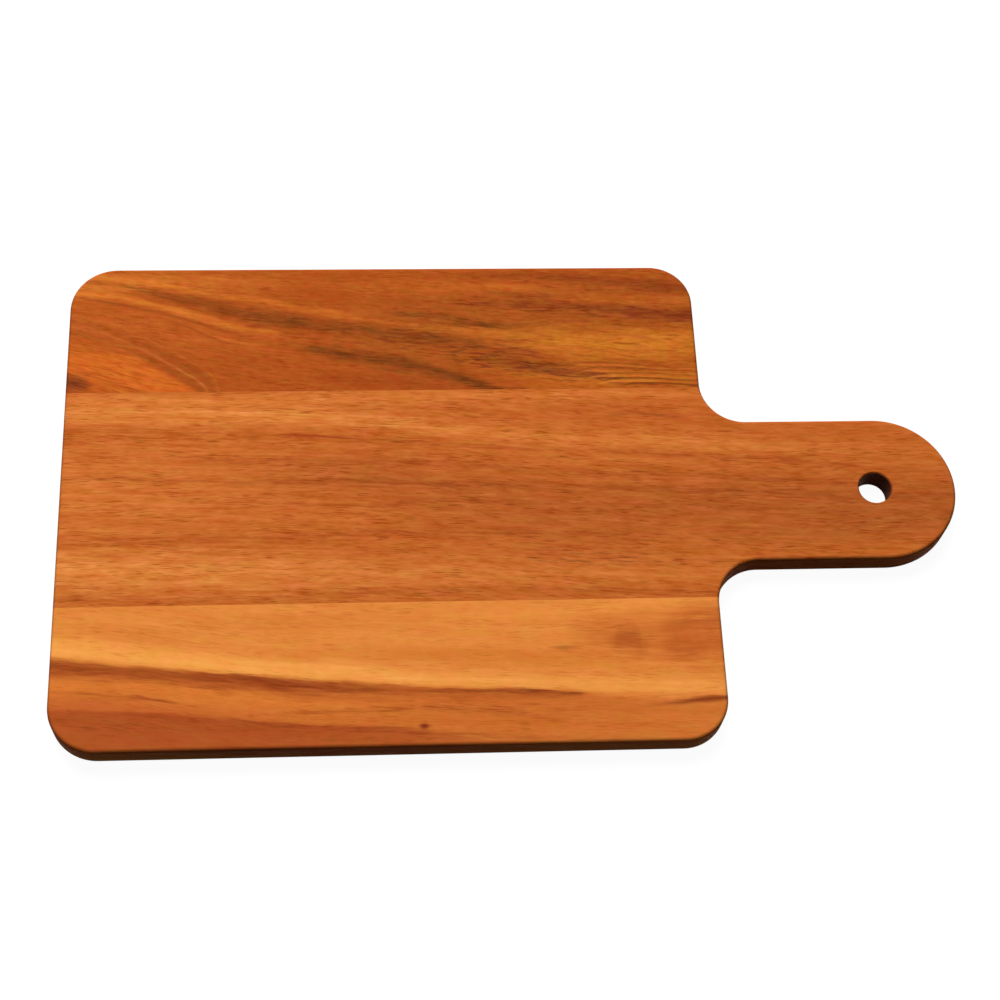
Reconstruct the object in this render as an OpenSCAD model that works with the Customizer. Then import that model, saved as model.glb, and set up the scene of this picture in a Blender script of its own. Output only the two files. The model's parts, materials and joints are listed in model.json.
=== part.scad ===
// Paddle serving board: three hardwood staves, edge-glued into one panel,
// sawn to a paddle outline, eased along every arris and drilled for hanging.
// The board lies flat. +X runs to the tip of the handle, +Y to the back edge
// and +Z up. The origin is under the middle of the overall length and width.

/* [Board] */
// Overall length, from the tail edge to the tip of the handle
overall_l = 342; // [310:1:420]
// Length of the serving area, from the tail edge to the shoulders
body_l = 246; // [160:1:280]
// Width of the serving area
body_w = 200; // [140:1:300]
// Thickness of the glued panel
panel_t = 11; // [6:0.5:24]
// Radius of the two corners at the tail
tail_corner_r = 18; // [4:0.5:40]
// Radius of the two corners at the shoulders
shoulder_corner_r = 16.5; // [4:0.5:40]
// Radius of the easing along every arris of the outline
arris_r = 1.5; // [0.4:0.1:1.8]

/* [Handle] */
// Width of the handle, whose tip is a half round of the same width
handle_w = 59; // [36:1:80]
// Radius of the hollow where each shoulder runs into the handle
root_fillet_r = 17; // [4:0.5:36]
// Diameter of the hanging hole
hole_d = 12.5; // [6:0.5:20]
// Distance from the tip of the handle to the middle of the hanging hole
hole_setback = 31.5; // [18:0.5:60]
// Width of the countersink that eases each mouth of the hanging hole
hole_ease = 0.6; // [0.2:0.1:1.5]

/* [Glue-up] */
// Width of the middle stave, which carries the handle
centre_stave_w = 88.5; // [62:0.5:100]
// Thickness of the cured glue between two staves
glue_t = 0.15; // [0.1:0.05:0.4]

/* [Hidden] */
$fn = 96;
// Reach of the tools and cutting strips beyond the wood
overrun = 1;
// Width of the band along the outline that carries the eased edge, and the part of
// that width which laps over the core, so that the two are one piece of wood
rim_d = 2 * arris_r;
rim_lap = arris_r / 2;
tail_x = -overall_l / 2;
tip_x = overall_l / 2;
shoulder_x = tail_x + body_l;
half_w = body_w / 2;
grip_r = handle_w / 2;
hole_x = tip_x - hole_setback;
// The glued faces: the centre stave ends at seam_in, the outer staves start at seam_out
seam_in = centre_stave_w / 2;
seam_out = seam_in + glue_t;
// Centres of the round stretches on the back half of the outline
tail_corner = [tail_x + tail_corner_r, half_w - tail_corner_r];
shoulder_corner = [shoulder_x - shoulder_corner_r, half_w - shoulder_corner_r];
root_fillet = [shoulder_x + root_fillet_r, grip_r + root_fillet_r];
grip_end = [tip_x - grip_r, 0];

// Copies its children to the back half and, mirrored, to the front half
module both_halves() {
    for (side = [0, 1]) mirror([0, side, 0]) children();
}

// A rectangle between two opposite corners
module span(low, high) {
    translate(low) square(high - low);
}

// The paddle outline, drawn in by inset all round
module paddle_outline(inset) {
    // Serving area between its round corners, and the straight of the handle
    span([tail_corner.x, inset - half_w], [shoulder_corner.x, half_w - inset]);
    span([tail_x + inset, -tail_corner.y], [tail_corner.x, tail_corner.y]);
    span([shoulder_corner.x, -shoulder_corner.y], [shoulder_x - inset, shoulder_corner.y]);
    span([shoulder_x - inset, inset - grip_r], [grip_end.x, grip_r - inset]);
    translate(grip_end) circle(grip_r - inset);
    both_halves() {
        translate(tail_corner) circle(tail_corner_r - inset);
        translate(shoulder_corner) circle(shoulder_corner_r - inset);
        difference() {
            span([shoulder_x - inset, grip_r - inset], root_fillet);
            translate(root_fillet) circle(root_fillet_r + inset);
        }
    }
}

// Cross-section of the rim, from its inner side at u = 0 to the eased edge at u = rim_d
module rim_section() {
    difference() {
        square([rim_d, panel_t]);
        for (face = [0, 1]) translate([0, face * panel_t]) mirror([0, face])
            difference() {
                translate([rim_d - arris_r, 0]) square(arris_r);
                translate([rim_d - arris_r, arris_r]) circle(arris_r);
            }
    }
}

// Rim along a straight edge, with the outside on the right of the heading
module straight_rim(start, heading, length) {
    translate(start) rotate(heading - 90) translate([-rim_d, length, 0])
        rotate([90, 0, 0]) linear_extrude(length) rim_section();
}

// Rim round the outside of an arc
module convex_rim(centre, r, from, sweep) {
    translate(centre) rotate(from) rotate_extrude(angle = sweep)
        translate([r - rim_d, 0]) rim_section();
}

// Rim round the inside of an arc
module hollow_rim(centre, r, from, sweep) {
    translate(centre) rotate(from) rotate_extrude(angle = sweep)
        translate([r + rim_d, 0]) mirror([1, 0]) rim_section();
}

// The eased edge of the back half, from the tip of the handle round to the tail
module half_rim() {
    convex_rim(grip_end, grip_r, 0, 90);
    straight_rim([grip_end.x, grip_r], 180, grip_end.x - root_fillet.x);
    hollow_rim(root_fillet, root_fillet_r, 180, 90);
    straight_rim([shoulder_x, root_fillet.y], 90, shoulder_corner.y - root_fillet.y);
    convex_rim(shoulder_corner, shoulder_corner_r, 0, 90);
    straight_rim([shoulder_corner.x, half_w], 180, shoulder_corner.x - tail_corner.x);
    convex_rim(tail_corner, tail_corner_r, 90, 90);
    straight_rim([tail_x, tail_corner.y], 270, tail_corner.y);
}

// The whole panel, sawn to the paddle outline and eased along its edges
module paddle_blank() {
    linear_extrude(panel_t) paddle_outline(rim_d - rim_lap);
    both_halves() half_rim();
}

// The piece of the panel that lies between two lines along the grain
module stave_of_blank(low_y, high_y) {
    intersection() {
        paddle_blank();
        translate([tail_x - overrun, low_y, -overrun])
            cube([overall_l + 2 * overrun, high_y - low_y, panel_t + 2 * overrun]);
    }
}

// Hanging hole, countersunk a little at both faces
module hanging_hole() {
    mouth_d = hole_d + 2 * (hole_ease + overrun);
    translate([hole_x, 0, 0]) {
        translate([0, 0, -overrun]) cylinder(d = hole_d, h = panel_t + 2 * overrun);
        for (face = [0, 1]) translate([0, 0, face * panel_t]) mirror([0, 0, face])
            translate([0, 0, -overrun])
                cylinder(d1 = mouth_d, d2 = hole_d, h = hole_ease + overrun);
    }
}

// Middle stave, which runs on into the handle
module centre_stave() {
    color("#c0682c") difference() {
        stave_of_blank(-seam_in, seam_in);
        hanging_hole();
    }
}

// Stave along the back edge, dark and figured
module back_stave() {
    color("#a9531f") stave_of_blank(seam_out, half_w + overrun);
}

// Stave along the front edge, with a band of pale sapwood
module front_stave() {
    color("#d98a3e") stave_of_blank(-half_w - overrun, -seam_out);
}

// Cured glue between the back stave and the centre stave
module back_glue_line() {
    color("#7a4a24") stave_of_blank(seam_in, seam_out);
}

// Cured glue between the centre stave and the front stave
module front_glue_line() {
    color("#7a4a24") stave_of_blank(-seam_out, -seam_in);
}

back_stave();
centre_stave();
front_stave();
back_glue_line();
front_glue_line();
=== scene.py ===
"""Looks of a paddle serving board: three edge-glued staves, their glue lines, and a plain studio.

The staves are meshes that one Geometry Nodes tree makes by rule from the board's own sizes. Their wood is
procedural: the figure follows growth rings through the thickness, so the faces, edges and ends agree.
"""

from __future__ import annotations

import json
import logging
import math
from dataclasses import dataclass
from enum import Enum

import bpy
from mathutils import Color, Matrix, Vector

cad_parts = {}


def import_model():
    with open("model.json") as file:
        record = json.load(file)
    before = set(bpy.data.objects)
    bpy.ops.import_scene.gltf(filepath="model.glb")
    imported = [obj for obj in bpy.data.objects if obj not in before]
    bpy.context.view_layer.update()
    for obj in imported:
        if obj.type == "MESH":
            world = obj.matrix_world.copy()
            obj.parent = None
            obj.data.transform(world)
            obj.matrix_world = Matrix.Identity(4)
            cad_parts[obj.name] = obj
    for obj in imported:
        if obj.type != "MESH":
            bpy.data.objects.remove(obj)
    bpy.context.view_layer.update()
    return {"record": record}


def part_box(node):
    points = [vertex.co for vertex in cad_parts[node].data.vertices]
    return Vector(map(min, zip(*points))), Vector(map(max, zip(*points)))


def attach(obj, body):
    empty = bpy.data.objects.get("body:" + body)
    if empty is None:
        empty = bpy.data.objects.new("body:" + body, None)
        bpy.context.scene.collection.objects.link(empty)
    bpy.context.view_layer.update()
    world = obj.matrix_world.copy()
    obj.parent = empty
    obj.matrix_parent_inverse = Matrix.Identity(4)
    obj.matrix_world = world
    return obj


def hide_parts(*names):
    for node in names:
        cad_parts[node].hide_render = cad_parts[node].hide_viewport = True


LOG = logging.getLogger("serving_board")
MM = 0.001
BODY = "root"
FULL_TONE = 255

Tone = tuple[int, int, int]
Colour = tuple[float, float, float, float]
Place = tuple[float, float, float]
Station = tuple[float, float, float, float]
Socket = bpy.types.NodeSocket
Source = Socket | float | int | tuple | bool | str


def linear(tone: Tone) -> Colour:
    """Turns a display colour into the linear colour that a shader takes.

    Args:
        tone: Red, green and blue from 0 to 255, as a screen shows them.

    Returns:
        Linear red, green, blue and an alpha of 1.
    """
    shown = Color([value / FULL_TONE for value in tone])
    return (*shown.from_srgb_to_scene_linear(), 1.0)


@dataclass(frozen=True)
class Border:
    """How a streak stops.

    Attributes:
        firmness: Share of the half width that has full strength.
        fray: How far the fibres fray it.
        bare: Fibre level up to which the streak is thin.
        fade: Rise of the fibre level from there to full strength.
        thin: Strength where it is thin.
        crisp: The side that stops short: -1 for the back, 1 for the front, 0 for neither.
    """

    firmness: float = 0.0
    fray: float = 1.6
    bare: float = 0.15
    fade: float = 0.25
    thin: float = 0.35
    crisp: float = 0.0


class Edge(Enum):
    """The borders that streaks have."""

    SOFT = Border()
    FIRM = Border(firmness=0.4, fray=1.2)
    STRANDS = Border(fray=2.2, bare=0.4)
    DASHES = Border(fray=1.0, bare=0.48, fade=0.2, thin=0.0)
    LINE = Border(firmness=0.2, fray=0.6)
    CRISP_BACK = Border(firmness=0.2, fray=1.8, thin=0.5, crisp=-1.0)
    CRISP_FRONT = Border(fray=0.8, thin=0.5, crisp=1.0)
    FIELD = Border(firmness=0.6, fray=0.3, bare=0.0, thin=1.0, crisp=-1.0)


@dataclass(frozen=True)
class Streak:
    """A band of other colour in the wood.

    Attributes:
        name: What the band is.
        tint: Colour of the band at full strength.
        edge: How it stops.
        stations: Points along it: millimetres from the tail, millimetres from the back edge, half width in
            millimetres, and strength from 0 to 1.
    """

    name: str
    tint: Tone
    edge: Edge
    stations: tuple[Station, ...]


@dataclass(frozen=True)
class Marks:
    """A noise that stands for marks of one size in the wood.

    Attributes:
        length: Length of a mark along the grain, in millimetres.
        width: Width of a mark across the grain, in millimetres.
        shift: Offset that sets the noise apart from the others.
        detail: Number of finer layers inside it.
        roughness: Weight of the finer layers.
    """

    length: float
    width: float
    shift: float
    detail: float = 2.0
    roughness: float = 0.5


@dataclass(frozen=True)
class GrainLayer:
    """One layer of lighter and darker wood.

    Attributes:
        length: Length of a feature along the grain, in millimetres.
        width: Width of a feature across the grain, in millimetres.
        depth: Contrast of the layer.
        detail: Number of finer layers inside it.
        straight: Whether it keeps straight where the finer grain wanders.
    """

    length: float
    width: float
    depth: float
    detail: float = 1.0
    straight: bool = False


@dataclass(frozen=True)
class WoodFinish:
    """Colour and figure of one stave.

    Attributes:
        name: Name of the material.
        base: Main colour of the wood.
        flow: Points of the line that the grain follows: millimetres from the tail, and drift towards the
            front.
        fan: Share of the drift that the grain keeps at the back edge of the board.
        pith: Where the middle of the log was: millimetres from the back edge, and below the top face.
        wander: How far the grain wanders in long and in short waves, in millimetres.
        strand: Length and width of a strand in a streak, in millimetres.
        layers: The layers of the grain.
        turn: The layer in which the colour turns to red or to yellow.
        pore_depth: Strength of the pores, from 0 to 1.
        seed: Offset of the noise, which makes the staves differ.
        streaks: The bands, in the order in which they lie over each other.
        drilled: Whether the hanging hole goes through the stave, whose wall then gets painted shade.
    """

    name: str
    base: Tone
    flow: tuple[tuple[float, float], ...]
    fan: float
    pith: tuple[float, float]
    wander: tuple[float, float]
    strand: tuple[float, float]
    layers: tuple[GrainLayer, ...]
    turn: GrainLayer
    pore_depth: float
    seed: float
    streaks: tuple[Streak, ...]
    drilled: bool = False


@dataclass(frozen=True)
class BoardSizes:
    """Sizes of the board in metres. What the frame doesn't give is repeated from the part's own values."""

    tail_x: float
    tip_x: float
    half_width: float
    seam_in: float
    seam_out: float
    thickness: float
    hole_x: float
    hole_radius: float
    body_length: float = 246 * MM
    hole_ease: float = 0.6 * MM
    handle_half: float = 29.5 * MM
    tail_corner_radius: float = 18 * MM
    shoulder_corner_radius: float = 16.5 * MM
    root_fillet_radius: float = 17 * MM
    arris_radius: float = 1.5 * MM

    @classmethod
    def from_frame(cls, record: dict) -> BoardSizes:
        """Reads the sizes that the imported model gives.

        Args:
            record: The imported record.

        Returns:
            The sizes of the board.
        """
        centre_low, centre_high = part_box("centre_stave")
        back_low, back_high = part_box("back_stave")
        hole = next(mount for mount in record["mounts"] if mount["name"] == "hanging_hole")
        return cls(
            tail_x=centre_low.x,
            tip_x=centre_high.x,
            half_width=back_high.y,
            seam_in=centre_high.y,
            seam_out=back_low.y,
            thickness=centre_high.z,
            hole_x=hole["pos_m"][0],
            hole_radius=hole["dims"]["r_mm"] * MM,
        )

    def corners(self) -> list[tuple[float, float, float]]:
        """Lists the outline's corners clockwise.

        Returns:
            The x, the y and the radius of each corner.
        """
        shoulder_x = self.tail_x + self.body_length
        back = [
            (self.tail_x, self.half_width, self.tail_corner_radius),
            (shoulder_x, self.half_width, self.shoulder_corner_radius),
            (shoulder_x, self.handle_half, self.root_fillet_radius),
            (self.tip_x, self.handle_half, self.handle_half),
        ]
        front = [(x, -y, radius) for x, y, radius in reversed(back)]
        return back + front


class NodeSketch:
    """Adds nodes to one tree and links them."""

    # Layout of the nodes in the editor
    COLUMNS = 12
    COLUMN_STEP = 220
    ROW_STEP = 320
    # Numbers of the colour sockets of a Mix node, whose names repeat
    MIX_FACTOR = 0
    MIX_BELOW = 6
    MIX_ABOVE = 7
    MIX_RESULT = 2
    # The value that every noise lies about
    NOISE_MIDDLE = 0.5

    def __init__(self, tree: bpy.types.NodeTree) -> None:
        """Keeps the tree that the nodes go into."""
        self.tree = tree

    def add(self, kind: str, **settings: object) -> bpy.types.Node:
        """Adds a node.

        Args:
            kind: Type of the node.
            settings: Properties of the node.

        Returns:
            The new node.
        """
        node = self.tree.nodes.new(kind)
        row, column = divmod(len(self.tree.nodes), self.COLUMNS)
        node.location = (self.COLUMN_STEP * column, -self.ROW_STEP * row)
        for name, value in settings.items():
            setattr(node, name, value)
        return node

    def feed(self, socket: Socket, source: Source) -> None:
        """Links a socket to an input, or sets the input's own value.

        Args:
            socket: The input.
            source: A socket to link to it, or its value.
        """
        if isinstance(source, bpy.types.NodeSocket):
            self.tree.links.new(source, socket)
        else:
            socket.default_value = source

    def make(self, kind: str, inputs: dict[str | int, Source], **settings: object) -> Socket:
        """Adds a node with its inputs.

        Args:
            kind: Type of the node.
            inputs: What goes into each named or numbered input.
            settings: Properties of the node.

        Returns:
            The node's first output.
        """
        node = self.add(kind, **settings)
        for name, source in inputs.items():
            self.feed(node.inputs[name], source)
        return node.outputs[0]

    def math(self, operation: str, *numbers: Source, clamp: bool = False) -> Socket:
        """Adds a math node on one to three numbers and gives its result."""
        inputs = dict(enumerate(numbers))
        return self.make("ShaderNodeMath", inputs, operation=operation, use_clamp=clamp)

    def combine(self, x: Source, y: Source, z: Source) -> Socket:
        """Joins three numbers into a vector."""
        return self.make("ShaderNodeCombineXYZ", {"X": x, "Y": y, "Z": z})

    def split(self, vector: Source) -> bpy.types.bpy_prop_collection:
        """Splits a vector into its three numbers."""
        return self.make("ShaderNodeSeparateXYZ", {"Vector": vector}).node.outputs

    def ramp(
        self, value: Source, low: Source, high: Source, start: Source = 0.0, end: Source = 1.0
    ) -> Socket:
        """Maps a number smoothly from the stretch between low and high to the one between start and end."""
        inputs = {"Value": value, "From Min": low, "From Max": high, "To Min": start, "To Max": end}
        return self.make("ShaderNodeMapRange", inputs, interpolation_type="SMOOTHSTEP")

    def blend(self, factor: Source, first: Source, second: Source, mode: str = "MIX") -> Socket:
        """Mixes two colours.

        Args:
            factor: Share of the second colour.
            first: The colour below.
            second: The colour above.
            mode: How the second goes over the first.

        Returns:
            The mixed colour.
        """
        node = self.add("ShaderNodeMix", data_type="RGBA", blend_type=mode)
        for index, source in ((self.MIX_FACTOR, factor), (self.MIX_BELOW, first), (self.MIX_ABOVE, second)):
            self.feed(node.inputs[index], source)
        return node.outputs[self.MIX_RESULT]

    def noise(self, place: Source, detail: float, roughness: float = 0.5) -> Socket:
        """Adds a noise texture of unit scale and gives its value."""
        inputs = {"Vector": place, "Scale": 1.0, "Detail": detail, "Roughness": roughness}
        return self.make("ShaderNodeTexNoise", inputs)


class PanelTree:
    """The Geometry Nodes tree that makes one eased, cut and drilled piece from the panel's sharp outline."""

    RADIUS_NAME = "corner_radius"
    NUMBERS = (
        "Thickness",
        "Arris Radius",
        "Rim Width",
        "Outline Step",
        "Strip Low",
        "Strip High",
        "Strip Reach",
        "Hole Place",
        "Hole Radius",
        "Hole Ease",
    )
    # Fineness of the outline's corners, of the eased edge and of the hole
    ARC_STEPS = 48
    ARRIS_STEPS = 8
    HOLE_SIDES = 96
    # Length of the drill in thicknesses, and of a countersink's cutter in depths of the countersink
    DRILL_REACH = 2.0
    SINK_REACH = 2.0
    # Angle from which an edge looks sharp, and distance within which points are one
    SHARP_DEGREES = 30.0
    WELD = 0.002 * MM

    def __init__(self) -> None:
        """Makes the tree with its named inputs."""
        self.tree = bpy.data.node_groups.new("eased_panel", "GeometryNodeTree")
        self.sketch = NodeSketch(self.tree)
        self.sockets: dict[str, str] = {}
        self.declare("Geometry", "NodeSocketGeometry")
        for name in self.NUMBERS:
            self.declare(name, "NodeSocketFloat")
        self.declare("Material", "NodeSocketMaterial")
        self.tree.interface.new_socket("Geometry", in_out="OUTPUT", socket_type="NodeSocketGeometry")
        self.given = self.sketch.add("NodeGroupInput").outputs
        self.build()

    def declare(self, name: str, kind: str) -> None:
        """Adds a named input and keeps its identifier."""
        socket = self.tree.interface.new_socket(name, in_out="INPUT", socket_type=kind)
        self.sockets[name] = socket.identifier

    def move(self, shape: Socket, offset: Socket) -> Socket:
        """Moves a shape."""
        return self.sketch.make("GeometryNodeSetPosition", {"Geometry": shape, "Offset": offset})

    def outline(self) -> Socket:
        """Rounds the corners of the sharp outline and spaces its points evenly.

        Returns:
            The outline at half the thickness.
        """
        sketch = self.sketch
        loop = sketch.make("GeometryNodeMeshToCurve", {"Mesh": self.given["Geometry"]})
        stored = {"Name": self.RADIUS_NAME}
        radius = sketch.make("GeometryNodeInputNamedAttribute", stored, data_type="FLOAT")
        rounding = {"Curve": loop, "Count": self.ARC_STEPS, "Radius": radius, "Limit Radius": True}
        rounded = sketch.make("GeometryNodeFilletCurve", rounding, mode="POLY")
        spacing = {"Curve": rounded, "Length": self.given["Outline Step"]}
        even = sketch.make("GeometryNodeResampleCurve", spacing, mode="LENGTH")
        return sketch.make("GeometryNodeSetCurveNormal", {"Curve": even}, mode="Z_UP")

    def rim(self, outline: Socket) -> Socket:
        """Sweeps the eased edge along the outline.

        Args:
            outline: The rounded outline at half the thickness.

        Returns:
            The edge, open towards the middle of the board.
        """
        sketch = self.sketch
        section_size = {"Width": self.given["Rim Width"], "Height": self.given["Thickness"]}
        section = sketch.make("GeometryNodeCurvePrimitiveQuadrilateral", section_size, mode="RECTANGLE")
        shift = sketch.math("MULTIPLY", self.given["Rim Width"], 0.5)
        moved = self.move(section, sketch.combine(shift, 0.0, 0.0))
        open_section = sketch.make("GeometryNodeSetSplineCyclic", {"Geometry": moved, "Cyclic": False})
        rounding = {"Curve": open_section, "Count": self.ARRIS_STEPS, "Radius": self.given["Arris Radius"]}
        eased = sketch.make("GeometryNodeFilletCurve", rounding, mode="POLY")
        return sketch.make("GeometryNodeCurveToMesh", {"Curve": outline, "Profile Curve": eased})

    def face(self, outline: Socket, side: int) -> Socket:
        """Fills the flat of one face inside the rim.

        Args:
            outline: The rounded outline at half the thickness.
            side: 1 for the top and -1 for the underside.

        Returns:
            The flat face.
        """
        sketch = self.sketch
        inward = sketch.make("GeometryNodeInputNormal", {})
        scaling = {"Vector": inward, "Scale": self.given["Rim Width"]}
        inset = sketch.make("ShaderNodeVectorMath", scaling, operation="SCALE")
        flat = sketch.make("GeometryNodeFillCurve", {"Curve": self.move(outline, inset)}, mode="NGONS")
        height = sketch.math("MULTIPLY", self.given["Thickness"], 0.5 * side)
        level = self.move(flat, sketch.combine(0.0, 0.0, height))
        return level if side > 0 else sketch.make("GeometryNodeFlipFaces", {"Mesh": level})

    def strip(self) -> Socket:
        """Makes the block that one piece is cut out of the panel with.

        Returns:
            The block.
        """
        sketch = self.sketch
        low, high, reach = (self.given[f"Strip {name}"] for name in ("Low", "High", "Reach"))
        size = sketch.combine(reach, sketch.math("SUBTRACT", high, low), reach)
        middle = sketch.math("MULTIPLY", sketch.math("ADD", high, low), 0.5)
        block = sketch.make("GeometryNodeMeshCube", {"Size": size})
        return self.move(block, sketch.combine(0.0, middle, 0.0))

    def hole(self) -> list[Socket]:
        """Makes the drill and the two countersinks of the hanging hole.

        Returns:
            The three cutters.
        """
        sketch = self.sketch
        place, radius, ease = (self.given[f"Hole {name}"] for name in ("Place", "Radius", "Ease"))
        thickness = self.given["Thickness"]
        length = sketch.math("MULTIPLY", thickness, self.DRILL_REACH)
        bit = {"Vertices": self.HOLE_SIDES, "Radius": radius, "Depth": length}
        drill = sketch.make("GeometryNodeMeshCylinder", bit)
        tools = [self.move(drill, sketch.combine(place, 0.0, 0.0))]
        depth = sketch.math("MULTIPLY", ease, self.SINK_REACH)
        wide = sketch.math("ADD", radius, depth)
        lower = sketch.math("MULTIPLY", ease, -1.0)
        above = sketch.math("MULTIPLY_ADD", thickness, 0.5, lower)
        below = sketch.math("MULTIPLY_ADD", thickness, -0.5, lower)
        for foot, head, level in ((wide, radius, below), (radius, wide, above)):
            shape = {"Vertices": self.HOLE_SIDES, "Radius Bottom": foot, "Radius Top": head, "Depth": depth}
            sink = sketch.make("GeometryNodeMeshCone", shape)
            tools.append(self.move(sink, sketch.combine(place, 0.0, level)))
        return tools

    def build(self) -> None:
        """Joins the rim and the faces, cuts the piece, drills it and sets its shading and material."""
        sketch = self.sketch
        outline = self.outline()
        join = sketch.add("GeometryNodeJoinGeometry")
        for shell in (self.rim(outline), self.face(outline, 1), self.face(outline, -1)):
            sketch.feed(join.inputs[0], shell)
        welding = {"Geometry": join.outputs[0], "Distance": self.WELD}
        blank = sketch.make("GeometryNodeMergeByDistance", welding)
        cut = sketch.add("GeometryNodeMeshBoolean", operation="INTERSECT", solver="EXACT")
        for block in (blank, self.strip()):
            sketch.feed(cut.inputs["Mesh 2"], block)
        drilled = sketch.add("GeometryNodeMeshBoolean", operation="DIFFERENCE", solver="EXACT")
        sketch.feed(drilled.inputs["Mesh 1"], cut.outputs[0])
        for tool in self.hole():
            sketch.feed(drilled.inputs["Mesh 2"], tool)
        half = sketch.math("MULTIPLY", self.given["Thickness"], 0.5)
        raised = self.move(drilled.outputs[0], sketch.combine(0.0, 0.0, half))
        smooth = sketch.make("GeometryNodeSetShadeSmooth", {"Geometry": raised, "Shade Smooth": True})
        angle = sketch.make("GeometryNodeInputMeshEdgeAngle", {})
        steep = sketch.math("GREATER_THAN", angle, math.radians(self.SHARP_DEGREES))
        edges = {"Geometry": smooth, "Selection": steep, "Shade Smooth": False}
        creased = sketch.make("GeometryNodeSetShadeSmooth", edges, domain="EDGE")
        whole = sketch.make("GeometryNodeRealizeInstances", {"Geometry": creased})
        dressing = {"Geometry": whole, "Material": self.given["Material"]}
        dressed = sketch.make("GeometryNodeSetMaterial", dressing)
        sketch.feed(sketch.add("NodeGroupOutput").inputs[0], dressed)


class Stuff(Enum):
    """What a piece is made of."""

    WOOD = "wood"
    GLUE = "film"


@dataclass(frozen=True)
class PanelPiece:
    """One piece of the glued panel: a stave or a glue line.

    Attributes:
        node: The solid that the piece stands for.
        stuff: What the piece is made of.
        slot: Name of the finish that it takes; not used, as build is given the material itself.
        sizes: Sizes of the board.
        low_y: Where the piece starts across the board.
        high_y: Where it ends.
        outline_step: Spacing of the points along the outline.
        rim_width: Width of the band along the outline that carries the eased edge.
        reach: Length of the block that the piece is cut out with.
        flat_weight: Weight of the large faces in the shading.
    """

    node: str
    stuff: Stuff
    slot: str
    sizes: BoardSizes
    low_y: float
    high_y: float
    outline_step: float = 1.0 * MM
    rim_width: float = 3.0 * MM
    reach: float = 1.0
    flat_weight: int = 100

    def sharp_outline(self) -> bpy.types.Mesh:
        """Makes the outline with its corners still sharp, and notes the radius of each.

        Returns:
            A mesh of edges.
        """
        corners = self.sizes.corners()
        count = len(corners)
        points = [(x, y, 0.0) for x, y, _ in corners]
        edges = [(i, (i + 1) % count) for i in range(count)]
        mesh = bpy.data.meshes.new(f"{self.node}_outline")
        mesh.from_pydata(points, edges, [])
        radii = mesh.attributes.new(PanelTree.RADIUS_NAME, "FLOAT", "POINT")
        radii.data.foreach_set("value", [radius for _, _, radius in corners])
        return mesh

    def settings(self) -> dict[str, float]:
        """Gives the numbers that the tree takes.

        Returns:
            Each number under the name of its input.
        """
        sizes = self.sizes
        return {
            "Thickness": sizes.thickness,
            "Arris Radius": sizes.arris_radius,
            "Rim Width": self.rim_width,
            "Outline Step": self.outline_step,
            "Strip Low": self.low_y,
            "Strip High": self.high_y,
            "Strip Reach": self.reach,
            "Hole Place": sizes.hole_x,
            "Hole Radius": sizes.hole_radius,
            "Hole Ease": sizes.hole_ease,
        }

    def shape(self, panel: PanelTree, material: bpy.types.Material) -> bpy.types.Mesh:
        """Runs the tree on the sharp outline.

        Args:
            panel: The tree that shapes the piece.
            material: Its finish.

        Returns:
            The piece as a plain mesh.
        """
        maker = bpy.data.objects.new(f"{self.node}_maker", self.sharp_outline())
        bpy.context.scene.collection.objects.link(maker)
        shaping = maker.modifiers.new("shape", "NODES")
        shaping.node_group = panel.tree
        for name, value in self.settings().items():
            shaping[panel.sockets[name]] = value
        shaping[panel.sockets["Material"]] = material
        flats = maker.modifiers.new("flats", "WEIGHTED_NORMAL")
        flats.keep_sharp = True
        flats.weight = self.flat_weight
        evaluated = maker.evaluated_get(bpy.context.evaluated_depsgraph_get())
        mesh = bpy.data.meshes.new_from_object(evaluated)
        mesh.name = f"{self.node}_mesh"
        bpy.data.objects.remove(maker)
        return mesh

    def build(self, panel: PanelTree, material: bpy.types.Material) -> bpy.types.Object:
        """Makes the piece and puts it in place of its solid.

        Args:
            panel: The tree that shapes the piece.
            material: Its finish.

        Returns:
            The finished piece.
        """
        piece = bpy.data.objects.new(f"{self.node}_{self.stuff.value}", self.shape(panel, material))
        bpy.context.scene.collection.objects.link(piece)
        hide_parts(self.node)
        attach(piece, BODY)
        return piece


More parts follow.
